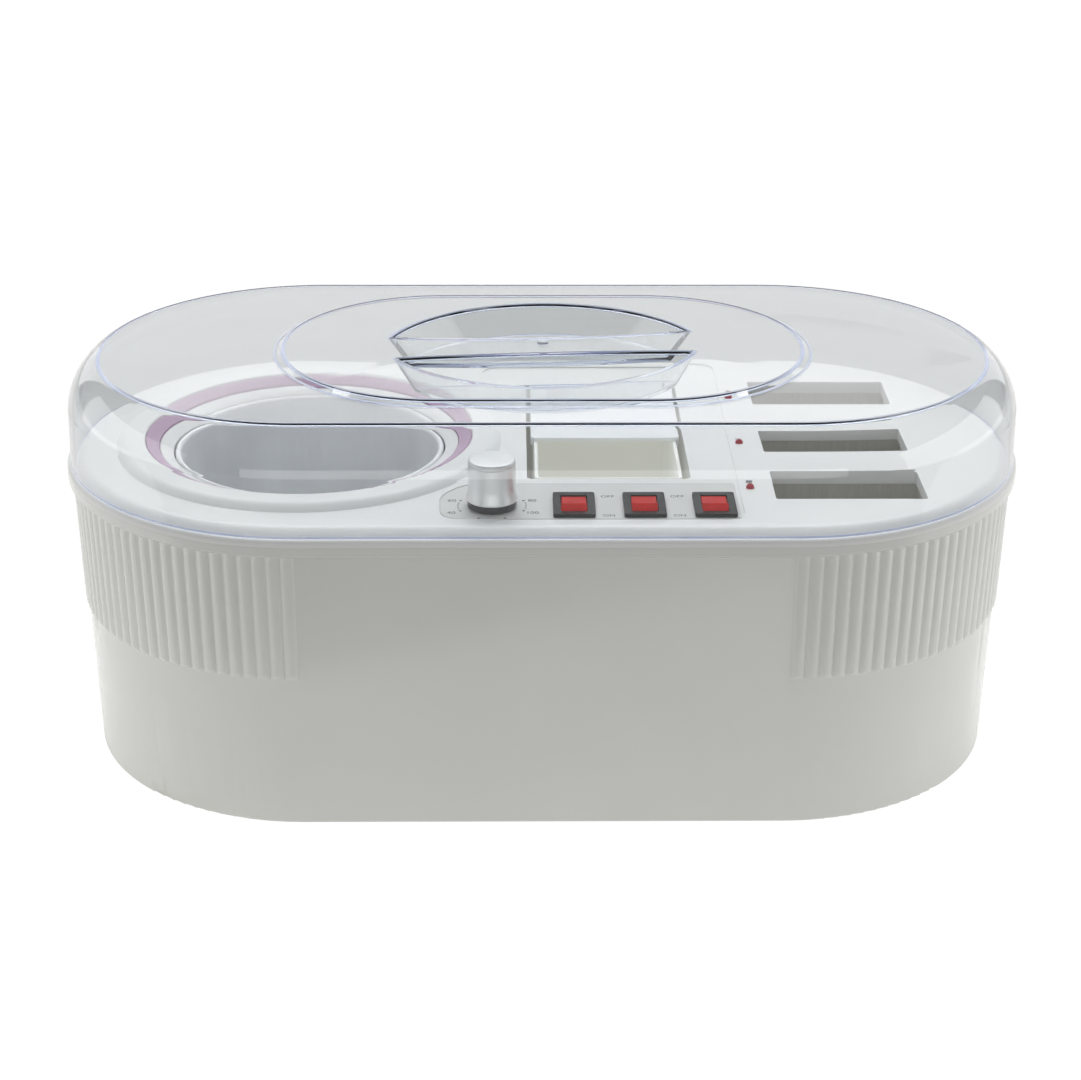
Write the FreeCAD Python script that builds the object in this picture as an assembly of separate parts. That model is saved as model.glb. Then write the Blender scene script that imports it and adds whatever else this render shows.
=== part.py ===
import FreeCAD
import Part
import math
import os

V = FreeCAD.Vector

# ----------------------------------------------------------------------------
# Driving dimensions, in millimetres. Z is up, the front faces -Y.
# ----------------------------------------------------------------------------
END_OFFSET = 91.15          # centre of each round end, left and right of the middle
BASE_R = 89.4               # outside radius of the tub wall at the floor
WALL_SLOPE = 0.0272         # how much the tub widens per millimetre of height
TUB_H = 118.0               # height of the tub's top edge
WALL_T = 2.5                # tub wall
FLOOR_T = 2.5               # tub floor
TUB_EDGE = 1.2              # rounding where the tub's wall meets its floor
FOOT_PROUD = 0.6            # rubber feet below the tub floor
LIP_H = 4.6                 # height of the plain band at the tub's top edge
LIP_R = 95.6                # outside radius of that band and of the deck's rim
RIB_Z0 = 62.7               # lower end of the ribs
RIB_COUNT = 54              # ribs round each end
RIB_PROUD = 1.1             # crest of a rib above the wall
LIP_CHAMFER = 1.0           # slope at that band's lower edge
RIM_ROUND = 1.1             # rounding of the deck's rim
SKIRT_T = 1.4               # wall of the skirt that locates the deck in the tub
SKIRT_DEPTH = 6.0           # how far that skirt reaches into the tub
RIM_RISE = 2.7              # ledge the lid sits on, above the tub's top edge
DECK_RISE = 5.9             # main deck surface, above the tub's top edge
CONSOLE_STEP = 0.6          # shallow recess of the console panel
DECK_T = 2.8                # deck plate
LEDGE_R = 91.8              # foot of the deck's shoulder
SHOULDER_R = 86.5           # where the shoulder meets the flat deck
LID_CLEAR = 0.3             # gap between lid and ledge
LID_R = 94.4                # lid's outside radius at its lower edge
LID_WAIST_R = 93.85         # lid's outside radius where the shoulder starts
LID_WALL_H = 22.0           # height of the lid's upright wall
LID_TOP_R = 81.8            # edge of the lid's flat top
LID_H = 40.2                # lid's height up to its flat top
LID_T = 2.0                 # lid wall
OVAL_HALF_X = 104.3         # raised oval on the lid
OVAL_R = 65.0
OVAL_RISE = 1.8
OVAL_RUN = 3.0
GRIP_R = 64.0               # outer arc of each grip pocket
GRIP_BACK_Y = 51.0          # how far the rear pocket reaches
GRIP_FRONT_Y = 48.0         # how far the front pocket reaches
GRIP_BAR_BACK = 8.0         # rear face of the grip bar at the middle
GRIP_BAR_FRONT = 10.0       # front face of the grip bar at the middle
GRIP_DEPTH = 12.0
GRIP_DRAFT = 5.0            # how far the pocket walls lean in over the depth
GRIP_TURN = 4.0             # degrees
POT_X = -92.0               # centre of the round pot bay
POT_HOLE_R = 53.5           # clear opening of the pot bay
POT_RUN = 0.6               # radial gap between opening and pot rim
CAN_DEPTH = 93.9            # underside of the heater can, below the deck
POT_RIM_DROP = 2.9          # pot's rim, below the deck
COLLAR_FOOT_R = 75.0        # raised collar round the pot bay
COLLAR_TOP_R = 70.8
COLLAR_RISE = 3.0           # collar's crest above the deck
RING_OUT_R = 64.2           # outer edge of the coloured trim ring
RING_IN_R = 59.0
WELL_X0 = -6.4              # box bay, inside faces
WELL_X1 = 55.9
WELL_Y0 = -43.8
WELL_Y1 = 57.0
WELL_DEPTH = 47.9           # floor of the box bay, below the deck
WELL_T = 1.8
BOX_GAP_X = 3.0             # gap between box and bay, left and right
BOX_GAP_Y = 2.1             # gap between box and bay, front and back
BOX_T = 1.4
BOX_DROP = 1.0              # box's rim, below the deck
COVER_Y0 = 0.5              # front edge of the half cover
COVER_T = 1.5
RUN_GAP = 0.3               # gap between pieces that move past each other
SLOT_X = 114.5              # centre of the cartridge slots
SLOT_W = 56.4
SLOT_D = 26.8
SLOT_PITCH = 48.2
SLOT_MID_Y = -1.5
CHAMBER_T = 1.2
CHAMBER_H = 86.6            # from a chamber's floor to the underside of the deck plate
LED_X = 77.5
LED_R = 1.5
OVERLAY_T = 0.5
OVERLAY_X0 = -38.6
OVERLAY_X1 = 71.9
OVERLAY_Y0 = -81.2
OVERLAY_Y1 = -47.0
CONSOLE_X0 = -24.4
CONSOLE_X1 = 73.4
CONSOLE_Y0 = -82.2
CONSOLE_Y1 = 83.5
KNOB_X = -19.5
KNOB_Y = -69.0
KNOB_R = 8.75
KNOB_FLARE_R = 9.6          # foot of the knob
KNOB_FLARE_H = 5.2          # height over which the knob widens to its foot
KNOB_RING_H = 2.8           # ring the knob turns on, above the overlay
KNOB_GROOVE = 0.2           # fine groove below the knob's top edge
KNOB_GROOVE_DROP = 1.9
KNOB_RISE = 18.4            # top of the knob, above the deck
SHAFT_R = 3.0
SHAFT_RUN = 0.05            # running clearance of the knob's shaft
SWITCH_X0 = 10.8            # first switch
SWITCH_PITCH = 26.0
SWITCH_Y = -70.0
SWITCH_W = 15.5             # bezel, across
SWITCH_L = 21.0             # bezel, front to back
ROCKER_W = 9.2
ROCKER_HALF_L = 6.6
ROCKER_TILT = 12.0          # degrees each way from level
PIN_R = 1.0
PIN_RUN = 0.05
INLET_X = 15.0
INLET_Z = 35.0
INLET_FACE_Y = 91.1
INLET_FLANGE_T = 1.8
POST_R = 5.0                # screw posts of the tub
POST_DROP = 25.9            # top of those posts, below the deck
FOOT_R = 9.0

# ----------------------------------------------------------------------------
# Derived dimensions
# ----------------------------------------------------------------------------
TUB_Z0 = FOOT_PROUD
DECK_RIM_Z = TUB_H + RIM_RISE
DECK_Z = TUB_H + DECK_RISE
PLATE_Z = DECK_Z - DECK_T
CONSOLE_Z = DECK_Z - CONSOLE_STEP
OVERLAY_TOP = CONSOLE_Z + OVERLAY_T
LID_Z0 = DECK_RIM_Z + LID_CLEAR
LID_WAIST_Z = LID_Z0 + LID_WALL_H
LID_TOP_Z = LID_Z0 + LID_H
LID_PEAK_Z = LID_TOP_Z + OVAL_RISE
OVAL_HALF_C = OVAL_HALF_X - OVAL_R
SKIRT_Z = TUB_H - SKIRT_DEPTH
SKIRT_R = BASE_R + WALL_SLOPE * SKIRT_Z - WALL_T - 0.15
SLOT_YS = [SLOT_MID_Y - SLOT_PITCH, SLOT_MID_Y, SLOT_MID_Y + SLOT_PITCH]
SLOT_NAMES = ["front", "middle", "rear"]
SWITCH_XS = [SWITCH_X0 + SWITCH_PITCH * k for k in range(3)]
PIVOT_Z = OVERLAY_TOP - 1.2
BEZEL_TOP = OVERLAY_TOP + 1.5
POT_RIM_R = POT_HOLE_R - POT_RUN
CAN_IN_R = POT_HOLE_R - 0.1
CAN_OUT_R = CAN_IN_R + 1.2
SEAT_Z = DECK_Z - 5.9
POT_BOTTOM_Z = DECK_Z - CAN_DEPTH
POT_RIM_Z = DECK_Z - POT_RIM_DROP
COLLAR_TOP_Z = DECK_Z + COLLAR_RISE
WELL_FLOOR_Z = DECK_Z - WELL_DEPTH
BOX_TOP_Z = DECK_Z - BOX_DROP
CHAMBER_Z0 = PLATE_Z - CHAMBER_H
KNOB_TOP_Z = DECK_Z + KNOB_RISE
POST_TOP_Z = DECK_Z - POST_DROP
SCREW_SEAT_Z = POST_TOP_Z - 6.0
THERMOSTAT_Z0 = PLATE_Z - 23.1      # underside of the thermostat's round body
SWITCH_Z0 = OVERLAY_TOP - 19.8      # underside of a switch body
SCREW_SPOTS = [
    (-48.0, -78.0),
    (-48.0, 78.0),
    (76.0, -78.0),
    (76.0, 78.0),
    (-169.0, 0.0),
    (169.0, 0.0),
]
FOOT_SPOTS = [(-118.0, -48.0), (118.0, -48.0), (118.0, 48.0), (-118.0, 48.0)]
BOARD_SPOTS = [(6.0, -28.0), (54.0, -28.0), (6.0, 36.0), (54.0, 36.0)]

os.makedirs("parts", exist_ok=True)


# ----------------------------------------------------------------------------
# Helpers
# ----------------------------------------------------------------------------
def save(shape, node):
    if shape.ShapeType == "Compound" and len(shape.Solids) == 1:
        shape = shape.Solids[0]
    shape.exportStep("parts/" + node + ".step")
    print(node, "solids", len(shape.Solids), "valid", shape.isValid(), round(shape.Volume, 1))


def profile_wire(points, place):
    """Closed wire from (r, z) points; a point with a third value is the middle of an arc."""
    edges = []
    count = len(points)
    i = 0
    while i < count:
        here = points[i]
        after = points[(i + 1) % count]
        if len(after) == 3:
            last = points[(i + 2) % count]
            arc = Part.Arc(place(here[0], here[1]), place(after[0], after[1]), place(last[0], last[1]))
            edges.append(arc.toShape())
            i += 2
        else:
            edges.append(Part.makeLine(place(here[0], here[1]), place(after[0], after[1])))
            i += 1
    return Part.Wire(edges)


def revolved(points, x=0.0, y=0.0):
    wire = profile_wire(points, lambda r, z: V(x + r, y, z))
    return Part.Face(wire).revolve(V(x, y, 0), V(0, 0, 1), 360)


def stadium(points, half):
    """Solid with straight sides of 2 * half along X and the profile swept round both ends."""
    right = Part.Face(profile_wire(points, lambda r, z: V(half, -r, z)))
    right = right.revolve(V(half, 0, 0), V(0, 0, 1), 180)
    left = right.mirror(V(0, 0, 0), V(1, 0, 0))
    front = Part.Face(profile_wire(points, lambda r, z: V(-half, -r, z))).extrude(V(2 * half, 0, 0))
    back = Part.Face(profile_wire(points, lambda r, z: V(-half, r, z))).extrude(V(2 * half, 0, 0))
    return right.multiFuse([left, front, back]).removeSplitter()


def rounded_rect(x0, x1, y0, y1, z, r):
    q = r * (1.0 - math.sqrt(0.5))
    edges = [
        Part.makeLine(V(x0 + r, y0, z), V(x1 - r, y0, z)),
        Part.Arc(V(x1 - r, y0, z), V(x1 - q, y0 + q, z), V(x1, y0 + r, z)).toShape(),
        Part.makeLine(V(x1, y0 + r, z), V(x1, y1 - r, z)),
        Part.Arc(V(x1, y1 - r, z), V(x1 - q, y1 - q, z), V(x1 - r, y1, z)).toShape(),
        Part.makeLine(V(x1 - r, y1, z), V(x0 + r, y1, z)),
        Part.Arc(V(x0 + r, y1, z), V(x0 + q, y1 - q, z), V(x0, y1 - r, z)).toShape(),
        Part.makeLine(V(x0, y1 - r, z), V(x0, y0 + r, z)),
        Part.Arc(V(x0, y0 + r, z), V(x0 + q, y0 + q, z), V(x0 + r, y0, z)).toShape(),
    ]
    return Part.Wire(edges)


def slab(x0, x1, y0, y1, z0, z1, r=0.0):
    if r <= 0.0:
        return Part.makeBox(x1 - x0, y1 - y0, z1 - z0, V(x0, y0, z0))
    return Part.Face(rounded_rect(x0, x1, y0, y1, z0, r)).extrude(V(0, 0, z1 - z0))


def rod(r, x, y, z0, z1):
    return Part.makeCylinder(r, z1 - z0, V(x, y, z0), V(0, 0, 1))


def tube(r_out, r_in, x, y, z0, z1):
    return rod(r_out, x, y, z0, z1).cut(rod(r_in, x, y, z0 - 1, z1 + 1))


def wire_run(points, r):
    """Round wire that follows straight runs, with a ball at every bend."""
    pieces = []
    for a, b in zip(points[:-1], points[1:]):
        start = V(*a)
        run = V(*b).sub(start)
        pieces.append(Part.makeCylinder(r, run.Length, start, run))
    for p in points[1:-1]:
        pieces.append(Part.makeSphere(r, V(*p)))
    return pieces[0].multiFuse(pieces[1:])


def wall_r(z):
    return BASE_R + WALL_SLOPE * z


def pan_screw(x, y, z_seat, head_r, head_h, shank_r, length):
    """Screw driven upwards: the head hangs under z_seat and the shank rises from it."""
    head = revolved([(0, z_seat), (head_r, z_seat), (head_r, z_seat - head_h * 0.45),
                     (head_r * 0.8, z_seat - head_h * 0.85, 1), (head_r * 0.5, z_seat - head_h),
                     (0, z_seat - head_h)], x, y)
    shank = revolved([(0, z_seat), (shank_r, z_seat), (shank_r, z_seat + length - 2.0),
                      (0.3, z_seat + length), (0, z_seat + length)], x, y)
    cross = slab(x - 1.6, x + 1.6, y - 0.4, y + 0.4, z_seat - head_h - 1, z_seat - head_h + 0.9)
    cross = cross.fuse(slab(x - 0.4, x + 0.4, y - 1.6, y + 1.6, z_seat - head_h - 1, z_seat - head_h + 0.9))
    return head.fuse(shank).cut(cross)


# ----------------------------------------------------------------------------
# Lower housing: tapered tub, plain band at the top, ribs round both ends
# ----------------------------------------------------------------------------
def rib_wire(centre, sign, z, groove_r, crest_r, inner_r):
    edges = []
    step = math.pi / RIB_COUNT

    def at(r, a):
        return V(sign * (centre + r * math.cos(a)), r * math.sin(a), z)

    first = -math.pi / 2
    for k in range(RIB_COUNT):
        a0 = first + k * step
        edges.append(Part.Arc(at(groove_r, a0), at(crest_r, a0 + step / 2), at(groove_r, a0 + step)).toShape())
    last = math.pi / 2
    edges.append(Part.makeLine(at(groove_r, last), at(inner_r, last)))
    edges.append(Part.Arc(at(inner_r, last), at(inner_r, 0.0), at(inner_r, first)).toShape())
    edges.append(Part.makeLine(at(inner_r, first), at(groove_r, first)))
    return Part.Wire(edges)


def rib_field(sign):
    top_z = TUB_H - LIP_H
    levels = [
        (RIB_Z0, 0.30),
        (RIB_Z0 + 0.7, 0.95),
        (RIB_Z0 + 2.0, RIB_PROUD),
        (top_z + 0.2, RIB_PROUD),
    ]
    wires = []
    for z, proud in levels:
        base = wall_r(z)
        groove = base + 0.12
        wires.append(rib_wire(END_OFFSET, sign, z, groove, base + proud + 0.12, base - 1.0))
    return Part.makeLoft(wires, True, True)


def build_lower_housing():
    edge = TUB_EDGE
    z0 = TUB_Z0
    lip_z = TUB_H - LIP_H
    outer = stadium([
        (0, z0),
        (wall_r(z0) - edge, z0),
        (wall_r(z0) - edge * 0.29, z0 + edge * 0.29, 1),
        (wall_r(z0 + edge), z0 + edge),
        (wall_r(lip_z), lip_z),
        (LIP_R - LIP_CHAMFER, lip_z + 0.35),
        (LIP_R, lip_z + 0.35 + LIP_CHAMFER),
        (LIP_R, TUB_H),
        (0, TUB_H),
    ], END_OFFSET)
    for sign in (-1, 1):
        outer = outer.fuse(rib_field(sign))
    in_z = z0 + FLOOR_T
    inner = stadium([
        (0, in_z),
        (wall_r(in_z) - WALL_T - 1.5, in_z),
        (wall_r(in_z + 1.5) - WALL_T, in_z + 1.5),
        (wall_r(TUB_H + 2) - WALL_T, TUB_H + 2),
        (0, TUB_H + 2),
    ], END_OFFSET)
    tub = outer.cut(inner)
    # flat pad for the mains inlet
    pad = slab(INLET_X - 28, INLET_X + 28, wall_r(INLET_Z) - WALL_T - 0.5, INLET_FACE_Y,
               INLET_Z - 16, INLET_Z + 16)
    tub = tub.fuse(pad)
    adds = []
    cuts = []
    for x, y in SCREW_SPOTS:
        adds.append(rod(POST_R, x, y, in_z - 0.5, POST_TOP_Z))
        cuts.append(rod(3.5, x, y, -1, SCREW_SEAT_Z))
        cuts.append(rod(1.9, x, y, SCREW_SEAT_Z - 1, POST_TOP_Z + 1))
    for x, y in BOARD_SPOTS:
        adds.append(rod(3.2, x, y, in_z - 0.5, 25.0))
        cuts.append(rod(1.15, x, y, 14.0, 26.0))
    for x, y in FOOT_SPOTS:
        adds.append(rod(FOOT_R + 2.0, x, y, in_z - 0.5, in_z + 1.0))
        cuts.append(rod(FOOT_R + 0.05, x, y, -1, TUB_Z0 + 1.5))
    # inlet opening and its two screw holes
    cuts.append(slab(INLET_X - 13.9, INLET_X + 13.9, 70, 100, INLET_Z - 10.3, INLET_Z + 10.3, 0))
    for side in (-1, 1):
        hole = Part.makeCylinder(1.35, 20, V(INLET_X + side * 20, 80, INLET_Z), V(0, 1, 0))
        cuts.append(hole)
    # cooling slots in the floor, in two rows
    for sx in (-1, 1):
        for k in range(-3, 4):
            x = sx * 62 + k * 7.0
            cuts.append(slab(x - 1.25, x + 1.25, -16, 16, -1, 6, 1.2))
    tub = tub.multiFuse(adds)
    return tub.cut(Part.makeCompound(cuts))


# ----------------------------------------------------------------------------
# Top deck: rim, shoulder, collar round the pot bay, box bay, slots, console recess
# ----------------------------------------------------------------------------
def overlay_face(z, grow):
    x0 = OVERLAY_X0 - grow
    x1 = OVERLAY_X1 + grow
    y0 = OVERLAY_Y0 - grow
    y1 = OVERLAY_Y1 + grow
    big = 19.0
    mid = 8.0
    small = 2.0
    h = 1.0 - math.sqrt(0.5)
    edges = [
        Part.makeLine(V(x0 + big, y1, z), V(x1 - small, y1, z)),
        Part.Arc(V(x1 - small, y1, z), V(x1 - small * h, y1 - small * h, z), V(x1, y1 - small, z)).toShape(),
        Part.makeLine(V(x1, y1 - small, z), V(x1, y0 + small, z)),
        Part.Arc(V(x1, y0 + small, z), V(x1 - small * h, y0 + small * h, z), V(x1 - small, y0, z)).toShape(),
        Part.makeLine(V(x1 - small, y0, z), V(x0 + mid, y0, z)),
        Part.Arc(V(x0 + mid, y0, z), V(x0 + mid * h, y0 + mid * h, z), V(x0, y0 + mid, z)).toShape(),
        Part.makeLine(V(x0, y0 + mid, z), V(x0, y1 - big, z)),
        Part.Arc(V(x0, y1 - big, z), V(x0 + big * h, y1 - big * h, z), V(x0 + big, y1, z)).toShape(),
    ]
    return Part.Face(Part.Wire(edges))


def build_top_deck():
    skirt_in = SKIRT_R - SKIRT_T
    deck = stadium([
        (0, PLATE_Z),
        (skirt_in - 1.0, PLATE_Z),
        (skirt_in, PLATE_Z - 0.8),
        (skirt_in, SKIRT_Z),
        (SKIRT_R, SKIRT_Z),
        (SKIRT_R, TUB_H + 0.05),
        (LIP_R, TUB_H + 0.05),
        (LIP_R, TUB_H + 0.5),
        (LIP_R - RIM_ROUND * 0.27, TUB_H + 1.9, 1),
        (LIP_R - RIM_ROUND, DECK_RIM_Z),
        (LEDGE_R, DECK_RIM_Z),
        (LEDGE_R - 1.6, DECK_Z - 0.85, 1),
        (SHOULDER_R, DECK_Z),
        (0, DECK_Z),
    ], END_OFFSET)
    recess = slab(CONSOLE_X0, CONSOLE_X1, CONSOLE_Y0, CONSOLE_Y1, CONSOLE_Z, DECK_Z + 1, 7.0)
    recess = recess.fuse(overlay_face(CONSOLE_Z, 0.5).extrude(V(0, 0, CONSOLE_STEP + 1)))
    deck = deck.cut(recess)
    deck = deck.cut(rod(COLLAR_TOP_R - 3.0, POT_X, 0, PLATE_Z - 5, DECK_Z + 5))
    collar = revolved([
        (COLLAR_FOOT_R + 0.6, PLATE_Z),
        (COLLAR_FOOT_R + 0.6, DECK_Z - 0.1),
        (COLLAR_TOP_R + 2.9, COLLAR_TOP_Z - 0.9, 1),
        (COLLAR_TOP_R, COLLAR_TOP_Z),
        (RING_OUT_R + 1.2, COLLAR_TOP_Z),
        (RING_OUT_R + 0.3, COLLAR_TOP_Z - 0.3, 1),
        (RING_OUT_R, COLLAR_TOP_Z - 1.0),
        (RING_OUT_R, DECK_Z + 0.85),
        (RING_IN_R + 0.2, DECK_Z - 1.5),
        (RING_IN_R + 0.2, SEAT_Z),
        (CAN_OUT_R + 1.8, SEAT_Z),
        (CAN_OUT_R + 1.8, SEAT_Z - 2.0),
        (RING_IN_R + 3.0, SEAT_Z - 2.0),
        (RING_IN_R + 7.0, PLATE_Z - 1.0),
        (RING_IN_R + 8.5, PLATE_Z),
    ], POT_X, 0)
    deck = deck.fuse(collar)
    bay = slab(WELL_X0 - WELL_T, WELL_X1 + WELL_T, WELL_Y0 - WELL_T, WELL_Y1 + WELL_T,
               WELL_FLOOR_Z - WELL_T, PLATE_Z + 0.5, 3.0 + WELL_T)
    adds = [bay]
    for x, y in SCREW_SPOTS:
        adds.append(rod(4.2, x, y, POST_TOP_Z, PLATE_Z + 0.5))
    for y in SLOT_YS:
        adds.append(slab(SLOT_X - SLOT_W / 2 - 1.4, SLOT_X + SLOT_W / 2 + 1.4, y - SLOT_D / 2 - 1.4,
                         y + SLOT_D / 2 + 1.4, PLATE_Z - 2.2, PLATE_Z + 0.5, 2.4))
    deck = deck.multiFuse(adds)
    cuts = [slab(WELL_X0, WELL_X1, WELL_Y0, WELL_Y1, WELL_FLOOR_Z, DECK_Z + 5, 3.0)]
    for y in SLOT_YS:
        cuts.append(slab(SLOT_X - SLOT_W / 2, SLOT_X + SLOT_W / 2, y - SLOT_D / 2, y + SLOT_D / 2,
                         PLATE_Z - 5, DECK_Z + 5, 1.0))
        cuts.append(rod(LED_R + 0.1, LED_X, y - 2.5, PLATE_Z - 5, DECK_Z + 5))
    for x in SWITCH_XS:
        cuts.append(slab(x - 6.75, x + 6.75, SWITCH_Y - 9.5, SWITCH_Y + 9.5, PLATE_Z - 5, DECK_Z + 5, 0))
    cuts.append(rod(4.8, KNOB_X, KNOB_Y, PLATE_Z - 5, DECK_Z + 5))
    for x, y in SCREW_SPOTS:
        cuts.append(rod(1.55, x, y, POST_TOP_Z - 1, POST_TOP_Z + 15))
    return deck.cut(Part.makeCompound(cuts))


def build_overlay():
    sheet = overlay_face(CONSOLE_Z, 0.0).extrude(V(0, 0, OVERLAY_T))
    cuts = [rod(4.8, KNOB_X, KNOB_Y, CONSOLE_Z - 1, OVERLAY_TOP + 1)]
    for x in SWITCH_XS:
        cuts.append(slab(x - 6.75, x + 6.75, SWITCH_Y - 9.5, SWITCH_Y + 9.5, CONSOLE_Z - 1, OVERLAY_TOP + 1))
    return sheet.cut(Part.makeCompound(cuts))


# ----------------------------------------------------------------------------
# Clear lid: domed shell, raised oval, two grip pockets either side of a bar
# ----------------------------------------------------------------------------
def lens(reach, bar, tip, sign, grow, floor_z, top_z):
    """Pocket with leaning walls, bounded by the outer arc and by the bar's slightly curved side."""
    half = 59.5
    sag = tip - bar
    bar_r = half * half / (2 * sag) + sag / 2
    drop = top_z - floor_z
    lean = GRIP_DRAFT * drop / GRIP_DEPTH
    a_y = sign * (reach - GRIP_R)
    b_y = sign * (bar + bar_r)
    cone_a = Part.makeCone(GRIP_R + grow - lean, GRIP_R + grow, drop, V(0, a_y, floor_z))
    cone_b = Part.makeCone(bar_r + grow - lean, bar_r + grow, drop, V(0, b_y, floor_z))
    return cone_a.common(cone_b)


def pockets(grow, floor_z, top_z):
    back = lens(GRIP_BACK_Y, GRIP_BAR_BACK, 12.5, 1, grow, floor_z, top_z)
    front = lens(GRIP_FRONT_Y, GRIP_BAR_FRONT, 12.5, -1, grow, floor_z, top_z)
    both = []
    for piece in (back, front):
        piece.rotate(V(0, 1, 0), V(0, 0, 1), GRIP_TURN)
        both.append(piece)
    return both


def build_lid():
    t = LID_T
    z0 = LID_Z0
    outer = stadium([
        (0, z0),
        (LID_R, z0),
        (LID_WAIST_R, LID_WAIST_Z),
        (LID_WAIST_R - 4.0, LID_WAIST_Z + 10.6, 1),
        (LID_TOP_R + 0.6, LID_TOP_Z - 0.45),
        (LID_TOP_R - 0.4, LID_TOP_Z),
        (0, LID_TOP_Z),
    ], END_OFFSET)
    oval = stadium([
        (0, LID_TOP_Z - 1),
        (OVAL_R, LID_TOP_Z - 1),
        (OVAL_R, LID_TOP_Z),
        (OVAL_R - OVAL_RUN, LID_PEAK_Z),
        (0, LID_PEAK_Z),
    ], OVAL_HALF_C)
    outer = outer.fuse(oval)
    inner = stadium([
        (0, z0 - 1),
        (LID_R - t, z0 - 1),
        (LID_R - t, z0),
        (LID_WAIST_R - t, LID_WAIST_Z - 0.4),
        (LID_WAIST_R - t - 3.8, LID_WAIST_Z + 9.4, 1),
        (LID_TOP_R - 0.9, LID_TOP_Z - t - 0.25),
        (LID_TOP_R - 1.6, LID_TOP_Z - t),
        (0, LID_TOP_Z - t),
    ], END_OFFSET)
    under = stadium([
        (0, LID_TOP_Z - t - 1),
        (OVAL_R - 0.9, LID_TOP_Z - t - 1),
        (OVAL_R - 0.9, LID_TOP_Z - t),
        (OVAL_R - OVAL_RUN - 0.9, LID_PEAK_Z - t),
        (0, LID_PEAK_Z - t),
    ], OVAL_HALF_C)
    inner = inner.fuse(under)
    floor_z = LID_PEAK_Z - GRIP_DEPTH
    for skin in pockets(t, floor_z - t, LID_PEAK_Z):
        inner = inner.cut(skin)
    lid = outer.cut(inner)
    for hollow in pockets(0.0, floor_z, LID_PEAK_Z + 0.0):
        lid = lid.cut(hollow)
    gate = rod(2.2, 0, 1, LID_PEAK_Z - 0.5, LID_PEAK_Z + 0.3)
    return lid.fuse(gate)


# ----------------------------------------------------------------------------
# Pot bay
# ----------------------------------------------------------------------------
def build_pot_parts():
    ring = revolved([
        (RING_IN_R, DECK_Z - 1.55),
        (RING_OUT_R - 0.1, DECK_Z + 0.87),
        (RING_OUT_R - 0.1, DECK_Z + 2.3),
        (RING_OUT_R - 0.6, DECK_Z + 2.45),
        (RING_IN_R, DECK_Z - 0.2),
    ], POT_X, 0)
    save(ring, "collar_trim_ring")
    bezel = revolved([
        (POT_HOLE_R, SEAT_Z + 1.2),
        (RING_IN_R - 0.1, SEAT_Z + 1.2),
        (RING_IN_R - 0.1, DECK_Z - 1.0),
        (RING_IN_R - 0.6, DECK_Z - 0.6),
        (POT_HOLE_R + 0.4, POT_RIM_Z + 0.1),
        (POT_HOLE_R, POT_RIM_Z - 0.3),
    ], POT_X, 0)
    save(bezel, "pot_bezel_ring")
    z0 = POT_BOTTOM_Z
    can = revolved([
        (0, z0),
        (CAN_OUT_R - 3.0, z0),
        (CAN_OUT_R - 0.9, z0 + 0.9, 1),
        (CAN_OUT_R, z0 + 3.0),
        (CAN_OUT_R, SEAT_Z),
        (RING_IN_R - 0.2, SEAT_Z),
        (RING_IN_R - 0.2, SEAT_Z + 1.2),
        (CAN_IN_R, SEAT_Z + 1.2),
        (CAN_IN_R, z0 + 3.2),
        (CAN_IN_R - 0.6, z0 + 1.8, 1),
        (CAN_IN_R - 2.0, z0 + 1.2),
        (0, z0 + 1.2),
    ], POT_X, 0)
    save(can, "pot_heater_can")
    r = POT_RIM_R
    p0 = z0 + 1.2 + RUN_GAP
    pot = revolved([
        (0, p0),
        (r - 7.0, p0),
        (r - 3.9, p0 + 1.3, 1),
        (r - 2.6, p0 + 4.4),
        (r - 1.2, POT_RIM_Z - 3.0),
        (r - 0.1, POT_RIM_Z - 2.2),
        (r, POT_RIM_Z - 1.0, 1),
        (r - 0.9, POT_RIM_Z),
        (r - 2.1, POT_RIM_Z - 1.0, 1),
        (r - 2.2, POT_RIM_Z - 2.2),
        (r - 3.6, p0 + 4.6),
        (r - 4.6, p0 + 2.0, 1),
        (r - 7.2, p0 + 1.0),
        (0, p0 + 1.0),
    ], POT_X, 0)
    save(pot, "inner_pot")
    band = tube(CAN_OUT_R + 1.6, CAN_OUT_R + 0.05, POT_X, 0, z0 + 15, z0 + 54)
    gap = slab(POT_X - 80, POT_X - 40, -3, 3, z0 + 10, z0 + 60)
    band = band.cut(gap)
    ear_x = POT_X - CAN_OUT_R - 4.0
    for side in (-1, 1):
        band = band.fuse(slab(ear_x - 1.0, POT_X - CAN_OUT_R - 0.8, side * 3.8 - 0.8, side * 3.8 + 0.8,
                              z0 + 20, z0 + 49))
    save(band, "pot_heater_band")
    sleeve = tube(CAN_OUT_R + 7.4, CAN_OUT_R + 2.4, POT_X, 0, z0 + 4, z0 + 74)
    sleeve = sleeve.cut(slab(POT_X - 80, POT_X - 40, -7, 7, z0, z0 + 80))
    save(sleeve, "pot_insulation")
    cutout = revolved([(0, z0 - 6.5), (7.5, z0 - 6.5), (8.2, z0 - 5.8), (8.2, z0 - 2.0), (9.2, z0 - 1.8),
                       (9.2, z0), (0, z0)], POT_X, 0)
    for side in (-1, 1):
        cutout = cutout.fuse(slab(POT_X + side * 4 - 0.4, POT_X + side * 4 + 0.4, -3, 3, z0 - 14, z0 - 6.2))
    save(cutout, "pot_thermal_cutout")


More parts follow.
